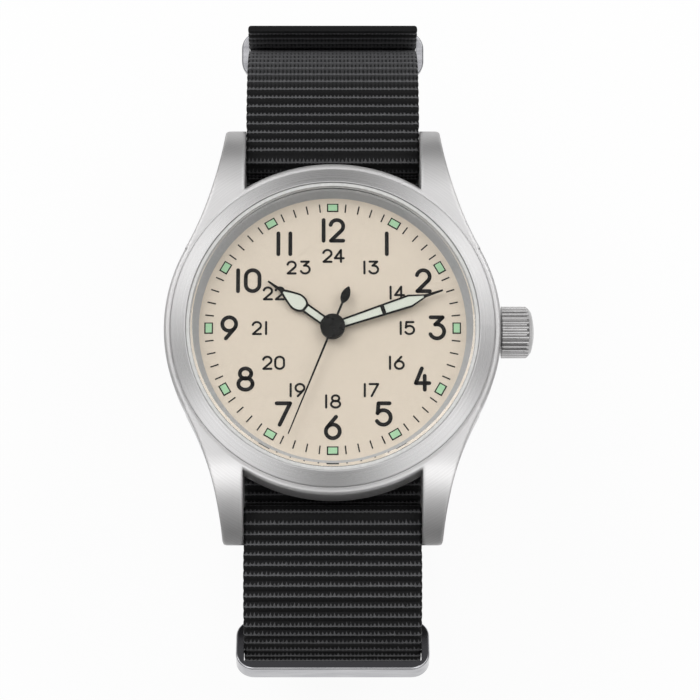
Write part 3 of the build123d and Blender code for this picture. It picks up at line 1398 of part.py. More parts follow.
def limb_point(side, height):
    """Where one side of the leaning limb meets a height."""
    start = (buckle_pin[0] + side * limb_across[0], buckle_pin[1] + side * limb_across[1])
    run = (height - start[1]) / math.sin(lean_turn)
    return (start[0] + run * math.cos(lean_turn), height)


with BuildPart() as buckle_tongue:
    with BuildSketch(Plane.YZ.offset(-tongue_width / 2)):
        with BuildLine():
            Polyline((tip_y + half_limb, blade_low_z), limb_point(1, blade_low_z),
                     limb_point(1, buckle_bar_z), limb_point(-1, buckle_bar_z),
                     limb_point(-1, blade_top_z), (tip_y, blade_top_z),
                     (tip_y, blade_low_z + half_limb), close=True)
        make_face()
        with Locations(buckle_pin):
            Circle(tongue_ring_radius)
            Circle(buckle_bar_radius + running_gap, mode=Mode.SUBTRACT)
    extrude(amount=tongue_width)
buckle_tongue.part.label = "buckle_tongue"
export_step(buckle_tongue.part, "parts/buckle_tongue.step")
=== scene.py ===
"""Field watch on a woven strap: the look of the part, built round its CAD frame."""

import math

import bpy
from bpy.props import FloatProperty, FloatVectorProperty, IntProperty, PointerProperty
from mathutils import Matrix, Vector


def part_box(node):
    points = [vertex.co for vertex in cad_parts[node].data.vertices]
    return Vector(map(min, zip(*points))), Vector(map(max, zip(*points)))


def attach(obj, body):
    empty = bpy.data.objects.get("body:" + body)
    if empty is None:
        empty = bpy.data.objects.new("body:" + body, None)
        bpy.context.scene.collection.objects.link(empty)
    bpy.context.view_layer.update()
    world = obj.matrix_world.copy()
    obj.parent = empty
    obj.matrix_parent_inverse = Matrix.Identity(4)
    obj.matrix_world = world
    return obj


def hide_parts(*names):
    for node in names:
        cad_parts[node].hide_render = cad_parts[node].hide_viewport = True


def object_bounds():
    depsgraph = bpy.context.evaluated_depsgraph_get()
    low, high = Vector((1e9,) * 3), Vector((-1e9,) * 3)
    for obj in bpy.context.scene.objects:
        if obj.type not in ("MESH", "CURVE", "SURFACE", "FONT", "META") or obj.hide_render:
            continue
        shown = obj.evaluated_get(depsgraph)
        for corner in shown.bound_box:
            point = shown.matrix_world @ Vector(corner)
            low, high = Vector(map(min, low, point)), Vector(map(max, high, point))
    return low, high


bl_info = {
    "name": "Field watch",
    "version": (1, 0, 0),
    "blender": (4, 5, 0),
    "location": "View3D > Sidebar > Watch",
    "description": "Dresses the frame of a field watch with its dial print, webbing and finishes",
    "category": "Add Mesh",
}

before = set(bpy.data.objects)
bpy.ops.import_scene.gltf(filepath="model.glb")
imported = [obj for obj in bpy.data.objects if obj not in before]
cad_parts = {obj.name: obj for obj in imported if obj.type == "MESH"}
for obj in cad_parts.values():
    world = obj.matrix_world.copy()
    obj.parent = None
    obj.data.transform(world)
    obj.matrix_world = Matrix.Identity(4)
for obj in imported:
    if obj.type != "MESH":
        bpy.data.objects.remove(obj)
cad_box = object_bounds()

MM = 0.001

# Camera: the middle of the bezel's top is seen at this pixel, from this distance and tilt
PICTURE_PIXELS = 700
TARGET_PIXEL = (332.7, 324.5)
TARGET_Z = 28.4 * MM
VIEW_DISTANCE = 300 * MM
VIEW_TILT = math.radians(12)
FOCAL_PIXELS = 2674.8
SENSOR_WIDTH = 36.0

# Stage: a small white floor in a tent of light cloth, which only reflections see
FLOOR_RADIUS = 0.45
FLOOR_GAP = 0.0002
TENT_RADIUS = 2.0
# How brightly the cloth glows along its ends, what its corners add to that, and how bright its top is
TENT_ENDS = 0.68
TENT_CORNERS = 1.72
TENT_TOP = 1.9
# The share of that glow that is left low down, and in front of the watch
TENT_FOOT = 0.1
TENT_FRONT = 0.47
# Where the cloth's glow changes, along z, z and y of the direction in which it is seen
FOOT_SPAN = (0.34, 0.44)
TOP_SPAN = (0.86, 0.98)
FRONT_SPAN = (-0.5, -0.3)
# The black flag: the direction it hangs in, how near to that it covers, and its glow
FLAG_DIRECTION = (0, 0.208, 0.978)
FLAG_SPAN = (0.98, 0.99)
FLAG_GLOW = 0.08
# The light on paint from above, and how white the paper floor is shown
SKY_LIGHT = 0.72
PAPER_GLOW = 0.92
# Soft boxes: place and size in metres, and power in watts
SOFT_BOXES = (
    ("soft_box_left", (-0.34, 0.34, 0.55), 0.45, 1.5),
    ("soft_box_right", (0.38, 0.26, 0.50), 0.45, 0.9),
)

# Webbing routes in millimetres, as (y, z) across the wrist, the way the CAD lays them
STRAP_ROUTE = (
    ("arc", (13.65, 6.9), 21.0, -73.5, -16.5),
    ("line", (13.65, -14.1), (2.5, -14.1)),
    ("arc", (2.5, -15.45), 1.35, 90, 180),
    ("line", (2.5, -16.8), (13.65, -16.8)),
    ("arc", (13.65, 6.9), 23.7, -90, 104.681),
    ("arc", (25.452, 9.992), 11.5, 14.681, 63.319),
    ("line", (27.843, 21.241), (21.591, 22.569)),
    ("arc", (21.3, 21.2), 1.4, 78.0, 102.0),
    ("line", (19.9, 21.2), (19.9, 19.85)),
    ("arc", (18.4, 19.85), 1.5, 0, -90),
    ("line", (18.4, 18.35), (-18.4, 18.35)),
    ("arc", (-18.4, 19.85), 1.5, -90, -90),
    ("line", (-19.9, 19.85), (-19.9, 21.2)),
    ("arc", (-21.3, 21.2), 1.4, 0, 98.0),
    ("line", (-21.495, 22.586), (-27.964, 21.677)),
    ("arc", (-26.6, 11.973), 9.8, 98.0, 82.0),
    ("line", (-36.4, 11.973), (-36.4, 2.6)),
    ("arc", (-17.0, 2.6), 19.4, 180, 90),
    ("line", (-17.0, -16.8), (-7.6, -16.8)),
    ("arc", (-7.6, -27.438), 10.638, 90, -18.925),
    ("arc", (-0.7, -7.312), 10.638, 251.075, 18.925),
    ("line", (-0.7, -17.95), (13.65, -17.95)),
    ("arc", (13.65, 6.9), 24.85, -90, 103.0),
    ("arc", (43.709, 13.84), 6.0, 193.0, -25.0),
    ("line", (37.84, 15.087), (38.36, 17.533)),
)
LINING_ROUTE = (
    ("arc", (13.65, 6.9), 22.55, -79.5, 94.559),
    ("arc", (29.632, 11.2), 6.0, 15.059, 74.941),
    ("line", (29.632, 17.2), (-31.416, 17.2)),
    ("arc", (-31.416, 14.48), 2.72, 90, 62.5),
    ("line", (-33.829, 15.736), (-34.291, 14.849)),
    ("arc", (-33.138, 14.249), 1.3, 152.5, 180),
    ("line", (-31.985, 13.648), (-31.523, 14.535)),
    ("arc", (-29.027, 13.236), 2.814, 152.5, -62.5),
    ("line", (-29.027, 16.05), (-24.027, 16.05)),
)
FRONT_CENTRE = (13.65, 6.9)
REAR_CENTRE = (-17.0, 2.6)
TAIL_RADIUS = 24.85
REAR_RADIUS = 19.4
HOLE_RADIUS = 1.0
TAIL_HOLE_ANGLES = (-57.72, -41.58, -25.44)
REAR_HOLE_ANGLES = (-110.67, -131.35, -152.02)
TAIL_PEG_RADIUS = TAIL_RADIUS + 0.3
TAIL_PEG_LENGTH = 1.7
REAR_PEG_LENGTH = 1.8

# Where the buckle's tongue passes the webbing: low and high corners in millimetres
TONGUE_SLOTS = (
    ((-1.4, 0.15, -17.37), (1.4, 4.43, -13.4)),
    ((-1.15, -0.8, -18.9), (1.15, 2.7, -17.38)),
)

# How the webbing is built up: half its size in millimetres, and its steps along and across
WEB_HALF_WIDTH = 10.04
WEB_HALF_THICKNESS = 0.5
STATIONS_PER_RIB = 6
EDGE_STEPS = (0.0, 0.04, 0.13, 0.3)
FLAT_STEPS = 11
RIB_SHARPNESS = 0.6
DIP_NARROWING = 0.008

# Where the webbing spreads sideways, in millimetres: past the lugs' tips, and where it lies under the case
LUG_TIP_Y = 24.5
CASE_FOOT_Z = 19.2
SPREAD_PAST = 0.05
SPREAD_UNDER = 0.16

# Where the strap bends down over its shoulder and a sheen is painted on its weave, along y in millimetres
SHEEN_FROM = (29.5, 35.5)
SHEEN_TO = (37.2, 37.7)

# The painted highlight teeth on each crest, in shares of a rib and a thread: how fast they narrow on their
# two sides, how much less so under the painted sheen, how bright they are, and where their edges and the
# crest's fade
TOOTH_SLOPES = (2.4, -0.9)
SHEEN_WIDENING = -0.65
TOOTH_GLOW = 0.62
TOOTH_FADE = (-0.02, 0.06)
CREST_FADE = (0.035, 0.07)

# The painted sheen, a pale mesh of threads and ribs over the shoulder: how bright it is, and where threads
# and ribs fade
MESH_GLOW = 0.5
THREAD_FADE = (0.12, 0.24)
RIB_FADE = (0.2, 0.32)

# How high the threads stand in the weave's fine relief, next to the teeth, and its depth in millimetres
THREAD_RISE = 0.8
WEAVE_DEPTH = 0.05

# Stitches: how many a row has, half their width and height, and how far a row stays inside the webbing's edge
STITCHES_PER_ROW = 8
STITCH_HALF_WIDTH = 0.16
STITCH_HALF_HEIGHT = 0.1
STITCH_EDGE = 1.2
# The seam beside the buckle lies on a round layer, and the seam at the head ring on the lining's lower face
BUCKLE_SEAM_RADIUS = 20.46
BUCKLE_SEAM_ANGLES = (-87.5, -84.5, -79.0, -76.0)
RING_SEAM_PLACES = ((-24.8, 16.05), (-27.4, 16.05))
RING_SEAM_RISE = -0.47

# One turn of the coil's wire, in millimetres
WIRE_PITCH = 0.3

# The way the strap runs through the head ring; the ring's faces square to it are painted dark, a painted
# reflection
HEAD_RING_RUN = (0, 0.462, 0.887)
# How square to it a face begins to take that painted dark reflection, and takes it in full
DARK_FACE_SPAN = (0.9, 0.96)

# Hour plots, as the CAD has them, in millimetres
PLOT_MIDDLE = 13.95
PLOT_WIDTH = 1.02
PLOT_LENGTH = 0.69

# Where the printed hours stand on the dial, in millimetres
HOUR_PLACES = {
    12: (0.07, 11.31), 1: (6.12, 9.75), 2: (10.22, 5.47), 3: (11.72, 0.03),
    4: (10.06, -5.83), 5: (5.70, -9.80), 6: (0.01, -11.33), 7: (-5.51, -9.80),
    8: (-9.77, -5.83), 9: (-11.64, 0.03), 10: (-9.47, 5.47), 11: (-5.47, 9.75),
}
AFTERNOON_PLACES = {
    24: (0.08, 8.33), 13: (4.34, 6.98), 14: (7.26, 4.07), 15: (8.38, 0.00),
    16: (7.19, -3.98), 17: (4.34, -7.09), 18: (0.05, -8.38), 19: (-3.94, -7.09),
    20: (-6.62, -3.98), 21: (-8.23, 0.00), 22: (-6.64, 3.99), 23: (-3.86, 6.98),
}


def hex_to_linear(text):
    """An sRGB hex colour as linear red, green and blue."""
    channels = [int(text[place:place + 2], 16) / 255 for place in (1, 3, 5)]
    return tuple(level / 12.92 if level <= 0.04045 else ((level + 0.055) / 1.055) ** 2.4
                 for level in channels)


def length(name, text, default):
    """A property for a length, given in millimetres."""
    return FloatProperty(name=name, description=text, default=default * MM, min=0,
                         subtype="DISTANCE", unit="LENGTH")


def colour(name, text, default):
    """A property for a colour, given as an sRGB hex value."""
    return FloatVectorProperty(name=name, description=text, default=hex_to_linear(default), size=3,
                               min=0, max=1, subtype="COLOR")


class WatchSizes(bpy.types.PropertyGroup):
    """Sizes of the printed and woven detail."""
    hour_height: length("Hour height", "Height of the large hour numbers", 2.86)
    hour_stroke: length("Hour stroke", "Width of the large numbers' strokes", 0.44)
    afternoon_height: length("Afternoon height", "Height of the small hour numbers", 1.62)
    afternoon_stroke: length("Afternoon stroke", "Width of the small numbers' strokes", 0.25)
    tick_width: length("Tick width", "Width of a minute mark", 0.15)
    tick_inner: length("Tick inner radius", "Radius where the minute marks start", 13.45)
    tick_outer: length("Tick outer radius", "Radius where the minute marks end", 14.42)
    ink_rise: length("Ink height", "How far the print stands off the dial", 0.03)
    rib_pitch: length("Rib pitch", "Distance from one rib of the webbing to the next", 1.15)
    rib_depth: length("Rib depth", "How deep the webbing dips between its ribs", 0.28)
    thread_pitch: length("Thread pitch", "Width of one lengthwise thread of the webbing", 0.45)
    plot_border: length("Plot border", "Width of the black line round an hour plot", 0.14)
    selvage: length("Selvage", "Width over which the webbing's edge is rounded", 0.3)
    stitch: length("Stitch", "Length of one stitch in the strap's joints", 1.7)
    minutes: IntProperty(name="Minutes", description="Marks round the dial", default=60, min=12)


class WatchColours(bpy.types.PropertyGroup):
    """Colours of the printed, painted and woven parts."""
    dial: colour("Dial", "Cream paint of the dial", "#DBCFBE")
    ink: colour("Ink", "Warm black of the print", "#0B0908")
    plots: colour("Hour plots", "Green luminous paint of the hour plots", "#A6D3A8")
    hand_lume: colour("Hand paint", "Pale luminous paint of the hands", "#D6DBCE")
    hands: colour("Hands", "Black lacquer of the hands", "#0C0C0A")
    webbing: colour("Webbing", "Black yarn of the strap", "#0B0B0C")
    # The crest colour is a painted highlight: yarn turns lit by the lamps
    webbing_crest: colour("Webbing crest", "Where the yarn's turns catch the light", "#646466")


def sizes():
    return bpy.context.scene.watch_sizes


def colours():
    return bpy.context.scene.watch_colours


# Mesh helpers

def deselect():
    """Leaves nothing selected and no piece active."""
    if bpy.context.object and bpy.context.object.mode != "OBJECT":
        bpy.ops.object.mode_set(mode="OBJECT")
    bpy.ops.object.select_all(action="DESELECT")


def take(piece):
    """Makes a piece the only one selected, and active."""
    deselect()
    piece.select_set(True)
    bpy.context.view_layer.objects.active = piece


def settle(piece):
    """Applies a piece's place, turn and scale to its mesh."""
    take(piece)
    bpy.ops.object.transform_apply(location=True, rotation=True, scale=True)
    return piece


def mesh_piece(name, points, faces):
    """A piece from its points, in metres, and its faces."""
    mesh = bpy.data.meshes.new(name)
    mesh.from_pydata(points, [], faces)
    mesh.update()
    piece = bpy.data.objects.new(name, mesh)
    bpy.context.scene.collection.objects.link(piece)
    return piece


def apply_modifier(piece, kind, **settings):
    """Adds a modifier with its settings and applies it."""
    take(piece)
    modifier = piece.modifiers.new(kind.title(), kind)
    for name, value in settings.items():
        setattr(modifier, name, value)
    bpy.ops.object.modifier_apply(modifier=modifier.name)


def join(pieces, name):
    """Joins pieces into one."""
    deselect()
    for piece in pieces:
        piece.select_set(True)
    bpy.context.view_layer.objects.active = pieces[0]
    bpy.ops.object.join()
    pieces[0].name = name
    pieces[0].data.name = name
    return pieces[0]


def smooth(piece, degrees=35):
    """Shades a piece smooth, with edges sharper than an angle left crisp."""
    take(piece)
    bpy.ops.object.shade_smooth_by_angle(angle=math.radians(degrees))


def dress(piece, finish, body="case"):
    """Gives a piece its finish, its body and the slot it takes its finish from."""
    piece.data.materials.clear()
    piece.data.materials.append(finish)
    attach(piece, body)


# Node helpers

def add(tree, kind, values=None, links=None, **settings):
    """Adds a node with its settings, its sockets' values and the sockets that feed it."""
    made = tree.nodes.new("ShaderNode" + kind)
    for name, value in settings.items():
        setattr(made, name, value)
    for socket, value in (values or {}).items():
        made.inputs[socket].default_value = value
    for socket, source in (links or {}).items():
        tree.links.new(source, made.inputs[socket])
    return made


def blank(name):
    """A new material with an empty node tree."""
    material = bpy.data.materials.new(name)
    material.use_nodes = True
    material.node_tree.nodes.clear()
    return material


def ended(material, surface):
    """A material that ends in a surface."""
    add(material.node_tree, "OutputMaterial", links={"Surface": surface})
    return material


def shader(material, values=None, links=None):
    """A material that ends in a Principled shader."""
    return ended(material, add(material.node_tree, "BsdfPrincipled", values, links).outputs["BSDF"])


def layered(tree, factor, first, second):
    """A surface between two, by a factor from a socket."""
    return add(tree, "MixShader", links={0: factor, 1: first, 2: second}).outputs["Shader"]


def rgba(value):
    """An opaque colour, from an sRGB hex value or from linear red, green and blue."""
    red, green, blue = hex_to_linear(value) if isinstance(value, str) else value
    return (red, green, blue, 1.0)


def feed(tree, socket, value):
    """Gives a socket a value, or a link from the socket that has one."""
    if isinstance(value, bpy.types.NodeSocket):
        tree.links.new(value, socket)
    else:
        socket.default_value = value


def maths(tree, operation, *values):
    """The result of a sum on sockets and plain numbers."""
    made = add(tree, "Math", operation=operation)
    for place, value in enumerate(values):
        feed(tree, made.inputs[place], value)
    return made.outputs["Value"]


def vector_maths(tree, operation, *values):
    """The result of a sum on vectors: a number for a length or a dot product, and else a vector."""
    made = add(tree, "VectorMath", operation=operation)
    for place, value in enumerate(values):
        feed(tree, made.inputs[place], value)
    return made.outputs["Value" if operation in ("LENGTH", "DOT_PRODUCT") else "Vector"]


def blended(tree, factor, first, second):
    """A number between two, by a factor from a socket."""
    made = add(tree, "Mix", links={"Factor": factor}, data_type="FLOAT")
    feed(tree, made.inputs["A"], first)
    feed(tree, made.inputs["B"], second)
    return made.outputs["Result"]


def mixed(tree, factor, first, second):
    """A colour between two, by a factor from a socket. The first may come from a socket too."""
    made = add(tree, "Mix", links={"Factor": factor}, data_type="RGBA")
    feed(tree, made.inputs["A"], first if isinstance(first, bpy.types.NodeSocket) else rgba(first))
    feed(tree, made.inputs["B"], rgba(second))
    return made.outputs["Result"]


def ranged(tree, source, low, high, start=0.3, end=0.7):
    """A socket's value, mapped from one range onto another."""
    return add(tree, "MapRange", {"From Min": start, "From Max": end, "To Min": low, "To Max": high},
               {"Value": source}).outputs["Result"]


def noise(tree, size, detail=2.0, squash=(1, 1, 1)):
    """Noise whose grain has a size in millimetres, finer along an axis that is squashed."""
    place = add(tree, "TexCoord").outputs["Object"]
    squashed = add(tree, "Mapping", {"Scale": squash}, {"Vector": place}).outputs["Vector"]
    return add(tree, "TexNoise", {"Scale": 1 / (size * MM), "Detail": detail},
               {"Vector": squashed}).outputs["Fac"]


def bump(tree, height, depth, below=None):
    """A bump whose full height is a depth in millimetres."""
    links = {"Height": height}
    if below:
        links["Normal"] = below
    return add(tree, "Bump", {"Strength": 1.0, "Distance": depth * MM}, links).outputs["Normal"]


def blasted(name, light, dark, rough=0.4, grit=0.14, depth=0.004):
    """Steel blasted with fine beads: an even, softly glowing grey with a fine grit and faint clouding."""
    material = blank(name)
    tree = material.node_tree
    clouds = noise(tree, 2.4)
    grain = noise(tree, grit, 3.0)
    return shader(material, {"Metallic": 1.0, "Roughness": rough}, {
        "Base Color": mixed(tree, ranged(tree, clouds, 0, 1), light, dark),
        "Roughness": ranged(tree, grain, rough - 0.05, rough + 0.07),
        "Normal": bump(tree, grain, depth)})


def turned(name, light, dark, rough=0.3, ring=0.09, depth=0.0012, cross=0.6, edge=0.0):
    """Steel turned on a lathe: fine rings about the watch's axis draw light into rays."""
    material = blank(name)
    tree = material.node_tree
    place = add(tree, "TexCoord").outputs["Object"]
    radius = vector_maths(tree, "LENGTH", vector_maths(tree, "MULTIPLY", place, (1, 1, 0)))
    rings = add(tree, "TexNoise", {"Scale": 1 / (ring * MM), "Detail": 2.0}, {"W": radius},
                noise_dimensions="1D").outputs["Fac"]
    tangent = add(tree, "Tangent", direction_type="RADIAL", axis="Z")
    eased = add(tree, "Bevel", {"Radius": edge * MM}, samples=6).outputs["Normal"] if edge else None
    return shader(material, {"Metallic": 1.0, "Roughness": rough, "Anisotropic": cross,
                             "Anisotropic Rotation": 0.25}, {
        "Base Color": mixed(tree, ranged(tree, rings, 0, 1), light, dark),
        "Roughness": ranged(tree, rings, rough - 0.04, rough + 0.06),
        "Normal": bump(tree, rings, depth, eased),
        "Tangent": tangent.outputs["Tangent"]})


def polished(name, tint, rough=0.1, scratch=0.5, cut=None):
    """Polished metal with hairline wear. Faces square to a given direction can take their own colour: a
    painted dark reflection.
    """
    material = blank(name)
    tree = material.node_tree
    hairs = noise(tree, scratch, 4.0, (0.12, 1, 1))
    colour = mixed(tree, ranged(tree, hairs, 0, 1), tint[0], tint[1])
    if cut:
        facing = vector_maths(tree, "DOT_PRODUCT", add(tree, "TexCoord").outputs["Normal"], cut[0])
        side = ranged(tree, maths(tree, "ABSOLUTE", facing), 0.0, 1.0, *DARK_FACE_SPAN)
        colour = mixed(tree, side, colour, cut[1])
    return shader(material, {"Metallic": 1.0}, {
        "Base Color": colour,
        "Roughness": ranged(tree, hairs, rough - 0.03, rough + 0.05),
        "Normal": bump(tree, hairs, 0.0006)})


def matt(name, light, dark, rough=0.6, grain=0.2, depth=0.003, **values):
    """Paint, rubber or moulded plastic: a plain colour with a fine grain."""
    material = blank(name)
    tree = material.node_tree
    specks = noise(tree, grain, 3.0)
    settings = {"Roughness": rough}
    settings.update({key.replace("_", " "): value for key, value in values.items()})
    return shader(material, settings, {
        "Base Color": mixed(tree, ranged(tree, specks, 0, 1), light, dark),
        "Roughness": ranged(tree, specks, rough - 0.05, rough + 0.05),
        "Normal": bump(tree, specks, depth)})


def toned(values, factor):
    """A colour made lighter or darker."""
    return tuple(min(1.0, channel * factor) for channel in values[:3])


def clear_glass(name):
    """Mineral glass: almost colourless, with light from the lamps let through to the dial."""
    material = blank(name)
    tree = material.node_tree
    smear = noise(tree, 6.0)
    glass = add(tree, "BsdfPrincipled",
                {"Base Color": (1, 1, 1, 1), "Transmission Weight": 1.0, "IOR": 1.5, "Roughness": 0.0},
                {"Roughness": ranged(tree, smear, 0.0, 0.01)})
    shadow = add(tree, "LightPath").outputs["Is Shadow Ray"]
    through = add(tree, "BsdfTransparent").outputs["BSDF"]
    return ended(material, layered(tree, shadow, glass.outputs["BSDF"], through))


def where_rubbed(tree):
    """One over the strap's shoulder, where a sheen is painted on the weave, and zero elsewhere."""
    place = add(tree, "SeparateXYZ", links={"Vector": add(tree, "TexCoord").outputs["Object"]}).outputs
    shoulder = ranged(tree, place["Y"], 0.0, 1.0, *(y * MM for y in SHEEN_FROM))
    corner = ranged(tree, place["Y"], 1.0, 0.0, *(y * MM for y in SHEEN_TO))
    return maths(tree, "MULTIPLY", shoulder, corner)


def woven(name, dark, crest):
    """Ribbed nylon webbing: dark yarn, a toothed painted highlight on each crest, and a painted sheen of pale
    mesh over the shoulder.
    """
    material = blank(name)
    tree = material.node_tree
    weave = add(tree, "UVMap", uv_map="weave").outputs["UV"]
    axes = add(tree, "SeparateXYZ", links={"Vector": weave}).outputs
    wander = add(tree, "TexNoise", {"Scale": 0.9, "Detail": 3.0}, {"Vector": weave}).outputs["Fac"]
    fine = add(tree, "TexNoise", {"Scale": 3.2, "Detail": 2.0}, {"Vector": weave}).outputs["Fac"]
    # Over the shoulder a sheen is painted: a pale mesh that stands in for light off the yarn seen at a
    # glancing angle
    sheen_zone = where_rubbed(tree)

    # Ribs and threads wander a little. A rib's offset is zero on its crest, and a thread is highest half way
    drift = maths(tree, "MULTIPLY_ADD", wander, 0.5, -0.25)
    rib = maths(tree, "FRACT", maths(tree, "ADD", axes["Y"], maths(tree, "MULTIPLY", drift, 0.25)))
    offset = maths(tree, "SUBTRACT", rib, 0.5)
    away = maths(tree, "ABSOLUTE", offset)
    thread = maths(tree, "PINGPONG", maths(tree, "ADD", axes["X"], drift), 0.5)

    # Painted highlight teeth of uneven length run out from each crest, and are longer under the painted sheen
    tooth = maths(tree, "MULTIPLY", thread, maths(tree, "MULTIPLY_ADD", fine, 1.0, 0.15))
    near = maths(tree, "MAXIMUM", *(maths(tree, "MULTIPLY", offset, slope) for slope in TOOTH_SLOPES))
    near = maths(tree, "MULTIPLY", near, maths(tree, "MULTIPLY_ADD", sheen_zone, SHEEN_WIDENING, 1.0))
    teeth = ranged(tree, maths(tree, "SUBTRACT", tooth, near), 0.0, TOOTH_GLOW, *TOOTH_FADE)
    crests = maths(tree, "MAXIMUM", teeth, ranged(tree, away, 1.0, 0.0, *CREST_FADE))

    # Painted light: highlights on the crests, uneven, and the sheen's pale mesh over the shoulder
    threads = ranged(tree, thread, 0.0, MESH_GLOW, *THREAD_FADE)
    mesh = maths(tree, "MAXIMUM", threads, ranged(tree, away, MESH_GLOW, 0.0, *RIB_FADE))
    uneven = maths(tree, "MULTIPLY", crests, ranged(tree, wander, 0.6, 1.0))
    bright = maths(tree, "MAXIMUM", uneven, maths(tree, "MULTIPLY", sheen_zone, mesh))
    height = maths(tree, "MAXIMUM", crests, maths(tree, "MULTIPLY", thread, THREAD_RISE))
    return shader(material, {"Roughness": 0.6, "Specular IOR Level": 0.2}, {
        "Base Color": mixed(tree, bright, dark, crest),
        "Roughness": ranged(tree, crests, 0.75, 0.5, 0.0, 1.0),
        "Normal": bump(tree, height, WEAVE_DEPTH)})


def wound(name):
    """Enamelled copper wire, wound in close turns: fine painted highlights in lines across the coil, with
    painted shade between them.
    """
    material = blank(name)
    tree = material.node_tree
    place = add(tree, "TexCoord").outputs["Object"]
    turns = add(tree, "TexWave", {"Scale": 1 / (WIRE_PITCH * MM) / math.tau * 2, "Distortion": 0.4},
                {"Vector": place}, wave_type="BANDS", bands_direction="X").outputs["Fac"]
    return shader(material, {"Metallic": 1.0, "Roughness": 0.3}, {
        "Base Color": mixed(tree, turns, "#6E3B22", "#C4794C"),
        "Normal": bump(tree, turns, 0.02)})


# Printed numbers: each stroke is a line of pen places in a box one high, with its middle at x = 0

def bow(centre, reach, start, end, count=18):
    """Pen places along part of an ellipse."""
    places = []
    for step in range(count + 1):
        turn = math.radians(start + (end - start) * step / count)
        places.append((centre[0] + reach[0] * math.cos(turn), centre[1] + reach[1] * math.sin(turn)))
    return places


SIX = [[(0.15, 1.0)] + bow((0, 0.32), (0.32, 0.32), 141, 501, 32)]
ZERO = [bow((0, 0.68), (0.32, 0.32), 180, 0) + bow((0, 0.32), (0.32, 0.32), 0, -180) + [(-0.32, 0.68)]]
DIGITS = {
    "0": ZERO,
    "1": [[(0, 0), (0, 1)]],
    "2": [bow((0, 0.7), (0.3, 0.3), 168, -44), [(0.216, 0.492), (-0.28, 0.0)], [(-0.28, 0.0), (0.3, 0.0)]],
    "3": [[(-0.29, 1), (0.27, 1)], [(0.27, 1), (-0.08, 0.655)],
          bow((0, 0.333), (0.333, 0.333), 104, -156, 24)],
    "4": [[(-0.03, 1), (-0.31, 0.31)], [(-0.31, 0.31), (0.31, 0.31)], [(0.1, 0.65), (0.1, 0)]],
    "5": [[(0.27, 1), (-0.24, 1)], [(-0.24, 1), (-0.28, 0.535)],
          bow((-0.02, 0.34), (0.34, 0.34), 143, -150, 24)],
    "6": SIX,
    "7": [[(-0.31, 1), (0.31, 1)], [(0.31, 1), (-0.17, 0)]],
    "8": [bow((0, 0.76), (0.265, 0.24), 0, 360, 28), bow((0, 0.275), (0.33, 0.275), 0, 360, 28)],
    "9": [[(-x, 1 - y) for x, y in SIX[0]]],
    "closed 4": [[(0.13, 0), (0.13, 1)], [(0.13, 1), (-0.32, 0.3)], [(-0.32, 0.3), (0.33, 0.3)]],
}
# How wide the digits are and how far apart they stand, for a box one high
DIGIT_WIDTHS = {
    "0": 0.64, "1": 0.0, "2": 0.58, "3": 0.63, "4": 0.62,
    "5": 0.6, "6": 0.64, "7": 0.62, "8": 0.66, "9": 0.64,
}
DIGIT_GAP = 0.33
PAIR_GAPS = {
    "10": 0.36, "11": 0.56, "13": 0.4, "14": 0.38, "15": 0.4, "16": 0.4, "17": 0.4, "18": 0.4, "19": 0.4,
    "21": 0.44, "23": 0.44, "24": 0.3,
}
# How much wider the small digits are drawn
SMALL_SPREAD = 1.12


def stroke_outline(places, half):
    """The outline of a pen stroke of even width, with round ends."""
    sides = ([], [])
    for number, place in enumerate(places):
        before = places[max(0, number - 1)]
        after = places[min(len(places) - 1, number + 1)]
        run = math.hypot(after[0] - before[0], after[1] - before[1])
        across = (-(after[1] - before[1]) / run * half, (after[0] - before[0]) / run * half)
        sides[0].append((place[0] + across[0], place[1] + across[1]))
        sides[1].append((place[0] - across[0], place[1] - across[1]))
    outline = list(sides[0])
    for centre, first in ((places[-1], sides[0][-1]), (places[0], sides[1][0])):
        start = math.degrees(math.atan2(first[1] - centre[1], first[0] - centre[0]))
        outline += bow(centre, (half, half), start - 22.5, start - 157.5, 6)
        if centre is places[-1]:
            outline += sides[1][::-1]
    return outline


def printed(name, outlines, height):
    """A raised print from flat outlines in metres, in one piece, overlapping where strokes cross."""
    points, faces = [], []
    for outline in outlines:
        faces.append(list(range(len(points), len(points) + len(outline))))
        points += [(x, y, height) for x, y in outline]
    piece = mesh_piece(name, points, faces)
    take(piece)
    bpy.ops.object.mode_set(mode="EDIT")
    bpy.ops.mesh.select_all(action="SELECT")
    bpy.ops.mesh.quads_convert_to_tris()
    bpy.ops.mesh.normals_make_consistent(inside=False)
    bpy.ops.object.mode_set(mode="OBJECT")
    for face in piece.data.polygons:
        if face.normal.z < 0:
            face.flip()
    apply_modifier(piece, "SOLIDIFY", thickness=sizes().ink_rise, offset=1.0)
    return piece


def number_strokes(text, place, height, pen, small):
    """The outlines of a number's strokes, centred on a place on the dial, in metres."""
    unit = height - pen
    spread = SMALL_SPREAD if small else 1.0
    gap = PAIR_GAPS.get(text, DIGIT_GAP)
    widths = [DIGIT_WIDTHS[digit] * spread for digit in text]
    start = -(sum(widths) + gap * (len(text) - 1)) / 2
    outlines = []
    for digit, width in zip(text, widths):
        middle = start + width / 2
        start += width + gap
        shape = "closed 4" if small and digit == "4" else digit
        for stroke in DIGITS[shape]:
            pen_places = [(place[0] + (x * spread + middle) * unit, place[1] + (y - 0.5) * unit)
                          for x, y in stroke]
            outlines.append(stroke_outline(pen_places, pen / 2))
    return outlines


def radial_box(angle, inner, outer, width):
    """A straight mark on the dial that points at its middle, clockwise from twelve."""
    turn = math.radians(angle)
    out = (math.sin(turn), math.cos(turn))
    side = (out[1] * width / 2, -out[0] * width / 2)
    return [(out[0] * reach + side[0] * way, out[1] * reach + side[1] * way)
            for reach, way in ((inner, -1), (outer, -1), (outer, 1), (inner, 1))]


# Webbing

